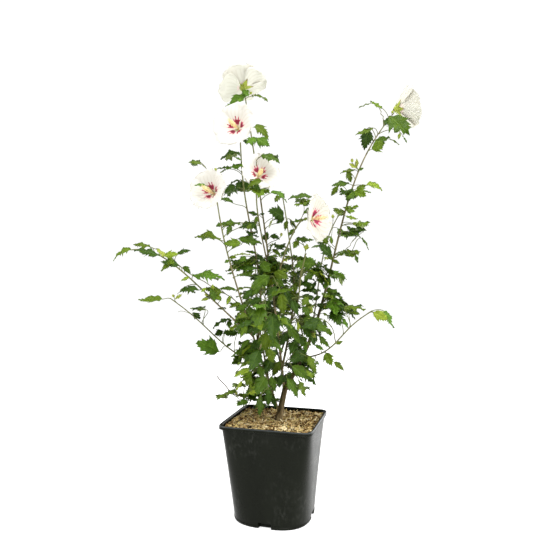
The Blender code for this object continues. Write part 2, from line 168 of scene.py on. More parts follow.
def span(tree, source, low, high):
    node = tree.nodes.new("ShaderNodeMapRange")
    node.inputs["To Min"].default_value = low
    node.inputs["To Max"].default_value = high
    tree.links.new(source, node.inputs["Value"])
    return node.outputs["Result"]


def bump(tree, shader, source, strength, distance):
    node = tree.nodes.new("ShaderNodeBump")
    node.inputs["Strength"].default_value = strength
    node.inputs["Distance"].default_value = distance
    tree.links.new(source, node.inputs["Height"])
    tree.links.new(node.outputs["Normal"], shader.inputs["Normal"])


def leaf_nodes(tree, shader):
    """Fine net of veins and a satin that varies over the blade."""
    cells = tree.nodes.new("ShaderNodeTexVoronoi")
    cells.feature = "DISTANCE_TO_EDGE"
    cells.inputs["Scale"].default_value = 430.0
    tree.links.new(coordinates(tree), cells.inputs["Vector"])
    bump(tree, shader, cells.outputs["Distance"], 0.55, 0.0011)
    tree.links.new(span(tree, noise_node(tree, 90.0), 0.26, 0.50), shader.inputs["Roughness"])


def petal_nodes(tree, shader):
    bump(tree, shader, noise_node(tree, 130.0, 2.0, 0.5), 0.10, 0.0006)
    tree.links.new(span(tree, noise_node(tree, 60.0), 0.50, 0.68), shader.inputs["Roughness"])


def chip_nodes(tree, shader):
    bump(tree, shader, noise_node(tree, 900.0, 5.0, 0.65, (1.0, 1.0, 3.0)), 0.55, 0.0012)
    tree.links.new(span(tree, noise_node(tree, 300.0), 0.78, 0.98), shader.inputs["Roughness"])


def bark_nodes(dark, mid, pale):
    def build(tree, shader):
        streaks = noise_node(tree, 160.0, 6.0, 0.62, (1.0, 1.0, 0.22))
        tree.links.new(
            ramp(tree, streaks, [(0.30, dark), (0.52, mid), (0.74, pale)]), shader.inputs["Base Color"]
        )
        bump(tree, shader, noise_node(tree, 700.0, 5.0, 0.6, (1.0, 1.0, 0.35)), 0.5, 0.0008)
        tree.links.new(span(tree, noise_node(tree, 220.0), 0.66, 0.92), shader.inputs["Roughness"])

    return build


def twig_nodes(tree, shader):
    bump(tree, shader, noise_node(tree, 900.0, 3.0, 0.6, (1.0, 1.0, 0.3)), 0.3, 0.0005)
    tree.links.new(span(tree, noise_node(tree, 300.0), 0.50, 0.75), shader.inputs["Roughness"])


def plastic_nodes(tree, shader):
    """Moulded black plastic: a faint cloud of dust, low scuffs and a fine moulded grain."""
    dust = noise_node(tree, 16.0, 6.0, 0.62, (1.0, 1.0, 0.45))
    clean = ramp(tree, dust, [(0.35, (0.0048, 0.0060, 0.0030)), (0.60, (0.0072, 0.0088, 0.0048)), (0.82, (0.0150, 0.0162, 0.0118))])
    scratches = ramp(tree, noise_node(tree, 150.0, 5.0, 0.62, (1.0, 1.0, 0.5)), [(0.48, (0, 0, 0)), (0.74, (1, 1, 1))])
    patches = ramp(tree, noise_node(tree, 11.0, 4.0, 0.6), [(0.52, (0, 0, 0)), (0.70, (1, 1, 1))])
    worn = tree.nodes.new("ShaderNodeMath")
    worn.operation = "MULTIPLY"
    tree.links.new(scratches, worn.inputs[0])
    tree.links.new(patches, worn.inputs[1])
    coat = tree.nodes.new("ShaderNodeMix")
    coat.data_type = "RGBA"
    coat.inputs["B"].default_value = (0.046, 0.048, 0.041, 1.0)
    tree.links.new(worn.outputs[0], coat.inputs["Factor"])
    tree.links.new(clean, coat.inputs["A"])
    tree.links.new(coat.outputs["Result"], shader.inputs["Base Color"])
    bump(tree, shader, noise_node(tree, 1400.0, 3.0, 0.5), 0.10, 0.0004)
    tree.links.new(span(tree, noise_node(tree, 34.0, 5.0, 0.6), 0.18, 0.40), shader.inputs["Roughness"])


def lip_line_nodes(tree, shader):
    bump(tree, shader, noise_node(tree, 900.0, 4.0, 0.6), 0.18, 0.0004)
    tree.links.new(span(tree, noise_node(tree, 120.0, 5.0, 0.6), 0.24, 0.50), shader.inputs["Roughness"])


def soil_nodes(tree, shader):
    grain = noise_node(tree, 260.0, 6.0, 0.7)
    tree.links.new(
        ramp(tree, grain, [(0.3, (0.012, 0.008, 0.005)), (0.55, (0.035, 0.022, 0.013)), (0.8, (0.10, 0.065, 0.035))]),
        shader.inputs["Base Color"],
    )
    bump(tree, shader, noise_node(tree, 700.0, 5.0, 0.7), 0.8, 0.002)
    tree.links.new(span(tree, grain, 0.85, 1.0), shader.inputs["Roughness"])


# The lip's rounded top edge is painted lighter than the pot: a painted highlight line along the rim.
LIP_PAINTED_HIGHLIGHT = material("lip_painted_highlight", (0.050, 0.056, 0.056), 0.34, lip_line_nodes, Specular_IOR_Level=0.30)
POT = material("moulded_black_plastic", (0.0065, 0.0072, 0.0052), 0.38, plastic_nodes, Specular_IOR_Level=0.085)
SOIL = material("dark_compost", (0.035, 0.022, 0.013), 0.95, soil_nodes)
CHIP_COLOURS = [
    (0.56, 0.395, 0.165), (0.80, 0.620, 0.300), (0.33, 0.200, 0.075),
    (0.140, 0.078, 0.026), (0.93, 0.800, 0.500), (0.040, 0.024, 0.010), (0.66, 0.520, 0.190),
]
CHIPS = [
    material(f"bark_chip_{k + 1}", c, 0.9, chip_nodes, Specular_IOR_Level=0.10)
    for k, c in enumerate(CHIP_COLOURS)
]
OLD_BARK = material("old_bark", (0.115, 0.082, 0.038), 0.8, bark_nodes((0.034, 0.023, 0.009), (0.112, 0.082, 0.036), (0.32, 0.255, 0.145)), Specular_IOR_Level=0.15)
# tan bark for the trunk's patches, partly its own tone, partly painted light on its lit right side
TAN_BARK_AND_PAINTED_LIGHT = material("tan_bark_and_painted_light", (0.25, 0.185, 0.095), 0.8, bark_nodes((0.060, 0.040, 0.016), (0.240, 0.178, 0.086), (0.48, 0.38, 0.22)), Specular_IOR_Level=0.15)
# a paler bark for the centre stem, part its own tone, part painted light
PALE_BARK_AND_PAINTED_LIGHT = material("pale_bark_and_painted_light", (0.34, 0.265, 0.145), 0.8, bark_nodes((0.090, 0.062, 0.028), (0.340, 0.265, 0.140), (0.58, 0.48, 0.30)), Specular_IOR_Level=0.15)
YOUNG_BARK = material("young_bark", (0.17, 0.146, 0.068), 0.75, bark_nodes((0.056, 0.044, 0.018), (0.160, 0.138, 0.062), (0.34, 0.30, 0.165)), Specular_IOR_Level=0.15)
SHOOT = material("green_brown_shoot", (0.155, 0.160, 0.056), 0.6, twig_nodes, Specular_IOR_Level=0.2)
PETIOLE = material("leaf_stalk", (0.130, 0.150, 0.040), 0.55, twig_nodes, Specular_IOR_Level=0.2)

# Leaf greens, from shaded old leaves to new growth; each has its blade, its paler underside and its
# vein strip.
GREENS = [
    ((0.026, 0.063, 0.002), "deep"),
    ((0.061, 0.121, 0.006), "dark"),
    ((0.122, 0.205, 0.011), "middle"),
    ((0.223, 0.324, 0.025), "bright"),
    ((0.330, 0.390, 0.060), "yellow"),
    ((0.180, 0.240, 0.070), "pale"),
    ((0.037, 0.086, 0.005), "shaded"),
    ((0.094, 0.151, 0.007), "olive"),
    ((0.092, 0.194, 0.014), "fresh"),
    ((0.273, 0.356, 0.032), "young"),
]
KINDS = len(GREENS)
VARIANTS = {0: (0, 0, 6), 1: (1, 1, 7, 6), 2: (2, 2, 8, 7), 3: (3, 3, 9, 8), 4: (4,), 5: (5,)}
BLADES, UNDERS, VEINS = [], [], []
for (r, g, b), word in GREENS:
    BLADES.append(material(f"leaf_{word}", (r, g, b), 0.38, leaf_nodes, Specular_IOR_Level=0.18))
    UNDERS.append(material(f"leaf_{word}_underside", (r * 1.2 + 0.018, g * 1.1 + 0.024, b * 1.2 + 0.004), 0.6, leaf_nodes, Specular_IOR_Level=0.10))
    VEINS.append(material(f"leaf_{word}_vein", (r * 1.35 + 0.02, g * 1.25 + 0.03, b * 1.3 + 0.006), 0.5, leaf_nodes, Specular_IOR_Level=0.20))

PETAL = material("petal_white", (0.76, 0.735, 0.665), 0.58, petal_nodes)
PETAL_BACK = material("petal_back", (0.76, 0.745, 0.655), 0.6, petal_nodes)
RIB = material("petal_rib", (0.715, 0.685, 0.605), 0.58, petal_nodes)
RIB_BACK = material("petal_back_rib", (0.715, 0.695, 0.595), 0.6, petal_nodes)
# Darker copies of the petal white and rib for the fifth bloom: painted shade.
PETAL_PAINTED_SHADE = material("petal_painted_shade", (0.60, 0.58, 0.505), 0.6, petal_nodes)
RIB_PAINTED_SHADE = material("petal_painted_shade_rib", (0.54, 0.515, 0.43), 0.6, petal_nodes)
BLUSH = material("petal_blush", (0.80, 0.42, 0.42), 0.58, petal_nodes)
FLUSH = material("petal_flush", (0.86, 0.72, 0.66), 0.6, petal_nodes)
CRIMSON = material("petal_crimson", (0.44, 0.014, 0.080), 0.55, petal_nodes)
MAROON = material("petal_maroon", (0.26, 0.008, 0.042), 0.55, petal_nodes)
# The throat's cream, lighter than the petal white: its own cream tone and painted light against the shade deep in the
# cup.
THROAT_PAINTED_LIGHT = material("petal_throat_painted_light", (0.92, 0.87, 0.66), 0.55, petal_nodes)
COLUMN = material("column_cream", (0.88, 0.72, 0.37), 0.55, petal_nodes)
POLLEN = material("pollen_cream", (0.93, 0.80, 0.38), 0.75, petal_nodes)
SEPAL = material("sepal_green", (0.36, 0.42, 0.050), 0.55, twig_nodes)
SEPAL_TIP = material("sepal_bronze", (0.27, 0.160, 0.040), 0.55, twig_nodes)


# ---------------------------------------------------------------- joined meshes
class Bundle:
    """Many small shapes gathered into one piece: points, faces and each face's material."""

    def __init__(self):
        self.points, self.faces, self.paint, self.count = [], [], [], 0

    def add(self, points, faces, paint):
        points = np.asarray(points, float).reshape(-1, 3)
        self.points.append(points)
        faces = np.asarray(faces, int)
        self.faces.append(faces + self.count)
        self.paint.append(np.broadcast_to(np.asarray(paint, int), (len(faces),)))
        self.count += len(points)

    def triangles(self):
        return sum(len(f) * (f.shape[1] - 2) for f in self.faces)

    def piece(self, name, materials, replaced, slot, turned=True, smooth=True):
        points = np.concatenate(self.points)
        if turned:
            c, s = math.cos(PLANT_TURN), math.sin(PLANT_TURN)
            points = points @ np.array([[c, s, 0], [-s, c, 0], [0, 0, 1]])
        mesh = bpy.data.meshes.new(name)
        faces = [f for block in self.faces for f in block.tolist()]
        mesh.from_pydata(points.tolist(), [], faces)
        for m in materials:
            mesh.materials.append(m)
        mesh.polygons.foreach_set("material_index", np.concatenate(self.paint).astype(np.int32))
        mesh.polygons.foreach_set("use_smooth", np.full(len(faces), smooth))
        mesh.update()
        mesh.validate()
        made = bpy.data.objects.new(name, mesh)
        bpy.context.scene.collection.objects.link(made)
        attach(made, "root")
        if replaced:
            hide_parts(*replaced)
        return made


def unit(v):
    v = np.asarray(v, float)
    return v / max(1e-12, np.linalg.norm(v))


def rows_of_quads(rows, columns, closed=False):
    """Quads of a grid of points, rows by columns; closed joins the last column to the first."""
    r = np.arange(rows - 1)[:, None]
    c = np.arange(columns if closed else columns - 1)[None, :]
    n = (c + 1) % columns
    quads = np.stack([r * columns + c, r * columns + n, (r + 1) * columns + n, (r + 1) * columns + c], -1)
    return quads.reshape(-1, 4)


def frames_along(points):
    """Tangent, side and normal at each point, turned as little as possible from one to the next."""
    tangents = np.gradient(points, axis=0)
    tangents /= np.linalg.norm(tangents, axis=1)[:, None] + 1e-12
    side = unit(np.cross(tangents[0], [0.13, 0.92, 0.31]))
    sides = []
    for t in tangents:
        side = unit(side - t * np.dot(side, t))
        sides.append(side)
    sides = np.array(sides)
    return tangents, sides, np.cross(tangents, sides)


def tube(points, radii, sides=6, shape=None):
    """A tube: rings round a line, closed round it but open at both ends."""
    points, radii = np.asarray(points, float), np.asarray(radii, float)
    _, a, b = frames_along(points)
    angle = np.arange(sides) / sides * math.tau
    reach = radii[:, None] * (np.ones((len(points), sides)) if shape is None else shape)
    rings = (
        points[:, None, :]
        + a[:, None, :] * (np.cos(angle) * reach)[:, :, None]
        + b[:, None, :] * (np.sin(angle) * reach)[:, :, None]
    )
    quads = rows_of_quads(len(points), sides, closed=True)
    return rings.reshape(-1, 3), quads


def bezier(p0, p1, p2, p3, count):
    t = np.linspace(0, 1, count)[:, None]
    p0, p1, p2, p3 = (np.asarray(p, float) for p in (p0, p1, p2, p3))
    return p0 * (1 - t) ** 3 + 3 * p1 * t * (1 - t) ** 2 + 3 * p2 * t**2 * (1 - t) + p3 * t**3


def smooth_line(points, count):
    """A Catmull-Rom line through the points, evened out to count points."""
    p = np.asarray(points, float)
    p = np.vstack([2 * p[0] - p[1], p, 2 * p[-1] - p[-2]])
    dense = []
    for k in range(1, len(p) - 2):
        t = np.linspace(0, 1, 12, endpoint=k == len(p) - 3)[:, None]
        a, b, c, d = p[k - 1], p[k], p[k + 1], p[k + 2]
        dense.append(0.5 * (2 * b + (c - a) * t + (2 * a - 5 * b + 4 * c - d) * t**2 + (3 * b - a - 3 * c + d) * t**3))
    dense = np.concatenate(dense)
    run = np.r_[0, np.cumsum(np.linalg.norm(np.diff(dense, axis=0), axis=1))]
    even = np.linspace(0, run[-1], count)
    return np.stack([np.interp(even, run, dense[:, k]) for k in range(3)], 1)


# ---------------------------------------------------------------- trunk and boughs
def limb_point(name, share):
    parent, where, tip, bow, sway = LIMBS[name][:5]
    start = np.array((0.008, 0.0, MULCH_LEVEL + GAP)) if parent is None else limb_point(parent, where)
    tip, bow, sway = (np.array(v) / 1000 for v in (tip, bow, sway))
    return start * (1 - share) + tip * share + bow * (4 * share * (1 - share)) + sway * math.sin(math.tau * share)


def limb_radius(name, share):
    thick, thin = LIMBS[name][5:7]
    radius = (thick + (thin - thick) * share ** (0.85 if name == "trunk" else TAPER)) / 1000
    if name == "trunk":
        radius += TRUNK_FLARE * math.exp(-share / FLARE_REACH)
    return radius


SKELETON = {"points": [], "along": [], "radius": []}  # what leaves and twigs may grow on


def add_to_skeleton(points, radii):
    tangents = frames_along(points)[0]
    SKELETON["points"].append(points)
    SKELETON["along"].append(tangents)
    SKELETON["radius"].append(np.asarray(radii))


def bark_tube(bundle, name, sides):
    """One limb with furrows, lenticels, a swelling at each leaf joint and a collar where it leaves."""
    length = np.linalg.norm(limb_point(name, 1.0) - limb_point(name, 0.0))
    count = int(max(40, length / (0.0013 if name == "trunk" else 0.0026)))
    shares = np.linspace(0, 1, count)
    points = np.array([limb_point(name, s) for s in shares])
    radii = np.array([limb_radius(name, s) for s in shares])
    if name == "trunk":
        points[0][2] = MULCH_LEVEL - 0.001
    run = np.r_[0, np.cumsum(np.linalg.norm(np.diff(points, axis=0), axis=1))]
    seed = 11.7 * (list(LIMBS).index(name) + 1)
    first = radii[0]
    grown = radii.copy()
    if name == "right_stem":  # a shade slimmer once it leaves the leaves
        grown *= 1 - 0.20 * np.clip((shares - 0.25) / 0.2, 0, 1)
    if name != "trunk":
        grown *= 1 + 0.40 * np.exp(-run / (2.6 * first))
    spacing = 0.021 if first < 0.003 else 0.030
    near = np.minimum((run + 0.4 * spacing) % spacing, spacing - (run + 0.4 * spacing) % spacing)
    knuckle = 0.16 * np.exp(-((near / 0.0016) ** 2)) * (radii < 0.0042)
    grown *= 1 + knuckle
    angle = np.arange(sides) / sides * math.tau
    shape = np.ones((count, sides))
    for i in range(count):
        for k in range(sides):
            c, s = math.cos(angle[k]), math.sin(angle[k])
            wave = noise.noise(Vector((c * 1.3 + seed, s * 1.3, run[i] * 38)))
            furrow = noise.noise(Vector((c * 3.6, s * 3.6 + seed, run[i] * 46)))
            pore = noise.noise(Vector((c * 5.0 + seed, s * 5.0, run[i] * 420)))
            shape[i, k] += 0.055 * wave + 0.045 * furrow + (0.05 if pore > 0.42 else 0.0)
            if name == "trunk":
                shape[i, k] += 0.10 * math.exp(-run[i] / 0.016) * math.sin(5 * angle[k] + 0.7)
    ring, quads = tube(points, grown, sides, shape)
    row = np.repeat(np.arange(count - 1), sides)
    thickness = radii[row]
    paint = np.where(thickness > 0.0036, 0, np.where(thickness > 0.00165, 1, 2))
    # The lower centre stem takes the pale bark: partly its own paler tan, partly painted light that keeps it bright in
    # the crown's shade.
    if name == "centre_stem":
        paint = np.where(np.repeat(run[:-1], sides) < 0.26, 4, paint)
    # Tan patches of bark, many near the foot; the threshold drops on the trunk's right side, so the tan also gathers
    # where the key lamp falls: painted light there.
    if name == "trunk":
        for i in range(count - 1):
            for k in range(sides):
                patch = noise.noise(Vector((math.cos(angle[k]) * 0.9, math.sin(angle[k]) * 0.9, run[i] * 34)))
                if patch > 9.0 * run[i] - 0.28 - 0.25 * math.cos(angle[k] - 3.6):
                    paint[i * sides + k] = 3
    bundle.add(ring, quads, paint)
    # a domed end
    tip = points[-1] + unit(points[-1] - points[-2]) * grown[-1] * 0.8
    last = ring[-sides:]
    bundle.add(
        np.vstack([last, tip]),
        [[k, (k + 1) % sides, sides] for k in range(sides)],
        paint[-1],
    )
    add_to_skeleton(points[:: 2 if count > 80 else 1], radii[:: 2 if count > 80 else 1])


trunk_bundle, bough_bundle = Bundle(), Bundle()
bark_tube(trunk_bundle, "trunk", 36)
for limb in list(LIMBS)[1:]:
    bark_tube(bough_bundle, limb, 20 if limb == "right_stem" else 14)

# ---------------------------------------------------------------- twigs that carry several leaves
# Each twig: the spots that it passes, seen from the front, its depth at either end, its thickness.
TWIGS = [
    ([(245, 308), (240, 305), (232, 298), (222, 292), (212, 287), (205, 282), (197, 278), (187, 272), (180, 266), (170, 258), (160, 251), (150, 247), (142, 245)], -45, -24, 1.1),
    ([(278, 384), (272, 392), (262, 399), (250, 399), (243, 397), (238, 395), (233, 392), (229, 390), (225, 385), (220, 380), (217, 376)], 3, 50, 1.5),
    ([(291, 325), (293, 318), (297, 305), (299, 290), (300, 275), (303, 262), (305, 254), (306, 248)], 28, -20, 1.0),
    ([(299, 222), (302, 217), (304, 211), (304, 206), (303, 202)], -44, -30, 0.9),
    ([(233, 392), (226, 393), (220, 396), (217, 399)], 12, 6, 0.7),
    ([(331, 240), (332, 232), (332.5, 225), (333, 221)], 55, 55, 0.7),
    ([(257, 344), (259, 338), (260, 330)], -27, -30, 1.1),
    ([(281, 371), (282.5, 367), (285, 366), (288, 368), (290, 373)], 0, -12, 0.9),
    ([(191, 314), (186, 312), (181, 311), (178, 312)], 40, 46, 0.6),
]
twig_bundle = Bundle()
for spots, near_depth, far_depth, thick in TWIGS:
    shares = np.linspace(0, 1, len(spots))
    line = [tuple(at(u, v, near_depth + (far_depth - near_depth) * s)) for (u, v), s in zip(spots, shares)]
    line = smooth_line(line, 26)
    radii = np.linspace(thick, max(0.55, thick * 0.72), 26) / 1000
    ring, quads = tube(line, radii, 7)
    twig_bundle.add(ring, quads, 2 if thick > 1.3 else 0)  # the stoutest is already brown
    add_to_skeleton(line, radii)

# ---------------------------------------------------------------- leaves
# One row of the blade for each tooth and each notch: its share along the leaf, the share of the
# midrib that its vein leaves, and its half width on a lobed and on a plain leaf.
BLADE = np.array([
    (0.000, 0.00, 0.012, 0.012), (0.045, 0.03, 0.080, 0.070), (0.130, 0.07, 0.205, 0.165),
    (0.250, 0.11, 0.335, 0.260), (0.245, 0.16, 0.265, 0.210), (0.410, 0.20, 0.455, 0.345),
    (0.380, 0.245, 0.355, 0.270), (0.575, 0.28, 0.515, 0.365), (0.505, 0.335, 0.335, 0.275),
    (0.515, 0.39, 0.225, 0.245), (0.665, 0.45, 0.325, 0.290), (0.640, 0.53, 0.215, 0.195),
    (0.785, 0.59, 0.245, 0.220), (0.755, 0.67, 0.145, 0.135), (0.890, 0.74, 0.140, 0.125),
    (0.875, 0.83, 0.070, 0.065), (1.000, 1.00, 0.006, 0.006),
])
TOOTH = np.array([0, 0, 0, 1, -1, 1, -1, 1, -1, -1, 1, -1, 1, -1, 1, -1, 0])
ACROSS = np.array([-1.0, -0.72, -0.40, -0.055, 0.0, 0.055, 0.40, 0.72, 1.0])
BLADE_QUADS = rows_of_quads(len(BLADE), len(ACROSS))
VEIN_STRIP = np.isin(np.arange(len(BLADE_QUADS)) % (len(ACROSS) - 1), (3, 4))
EDGE = np.concatenate([
    np.arange(len(ACROSS) - 1),
    np.arange(len(BLADE) - 1) * len(ACROSS) + len(ACROSS) - 1,
    (len(BLADE) * len(ACROSS) - 1 - np.arange(len(ACROSS) - 1)),
    (np.arange(len(BLADE) - 1, 0, -1)) * len(ACROSS),
])
LEAF_THICK = 0.00032


def leaf(bundle, base, tip, lift, facing, wide, lobed, fold, shade, rng):
    """One toothed leaf from its base to its tip, as a thin closed blade with sunk veins."""
    base, tip, lift = (np.asarray(p, float) for p in (base, tip, lift))
    shade = int(rng.choice(VARIANTS[shade]))
    along = tip - base
    length = np.linalg.norm(along)
    half = BLADE[:, 2] * lobed + BLADE[:, 3] * (1 - lobed)
    x = ACROSS[None, :] * half[:, None] * wide * 1.07
    reach = np.abs(ACROSS[None, :]) ** 1.25
    s = BLADE[:, 1][:, None] + (BLADE[:, 0] - BLADE[:, 1])[:, None] * reach
    jitter = rng.normal(0, 0.012, x.shape) * (np.abs(ACROSS) > 0.9)[None, :]
    x = x * (1 + jitter) * np.where(x < 0, rng.uniform(0.88, 1.08), rng.uniform(0.88, 1.08))
    t = s[..., None]
    curve = base + along * t + lift * (4 * t * (1 - t))
    tangent = along + lift * (4 * (1 - 2 * t))
    tangent /= np.linalg.norm(tangent, axis=-1, keepdims=True)
    sweep = rng.normal(0, 0.05) * length  # a slight sideways bend
    side = np.cross(tangent, np.broadcast_to(unit(facing), tangent.shape))
    side /= np.linalg.norm(side, axis=-1, keepdims=True)
    normal = np.cross(side, tangent)
    twist = rng.normal(0, 0.30) * (t - 0.3)
    side, normal = side * np.cos(twist) + normal * np.sin(twist), normal * np.cos(twist) - side * np.sin(twist)
    out = np.abs(x)
    wave = rng.uniform(0.035, 0.085) * np.sin(t[..., 0] * rng.uniform(12, 20) + rng.uniform(0, 6.3) + (x > 0) * rng.uniform(0, 3)) * (np.abs(ACROSS) ** 2)[None, :]
    z = out * math.tan(fold) - 0.85 * out**2 * rng.uniform(0.1, 1.5) + wave
    crimp = np.repeat(rng.normal(0, 0.024, (len(BLADE), 2)), (5, 4), axis=1)
    z = z + crimp * (np.abs(ACROSS) ** 2)[None, :] - 0.024 * TOOTH[:, None] * (np.abs(ACROSS) * (1.15 - np.abs(ACROSS)) * 2.4)[None, :]
    z = z + rng.normal(0, 0.0065, z.shape) * (np.abs(ACROSS) > 0.1)[None, :]
    z[:, 4] -= 0.006
    top = curve + side * (x * length)[..., None] + normal * (z * length)[..., None] + side * (sweep * t * (1 - t))
    under = top - normal * LEAF_THICK
    under[:, 4] -= normal[:, 4] * 0.00035  # the midrib stands out below
    n = top.shape[0] * top.shape[1]
    start = EDGE
    after = np.roll(EDGE, -1)
    rim = np.stack([start, start + n, after + n, after], 1)
    points = np.concatenate([top.reshape(-1, 3), under.reshape(-1, 3)])
    faces = np.concatenate([BLADE_QUADS, BLADE_QUADS[:, ::-1] + n, rim])
    paint = np.concatenate([
        np.where(VEIN_STRIP, 2 * KINDS + shade, shade), np.full(len(BLADE_QUADS), KINDS + shade), np.full(len(rim), shade),
    ])
    bundle.add(points, faces, paint)
    first = tangent[0, 4]
    return unit(first), length


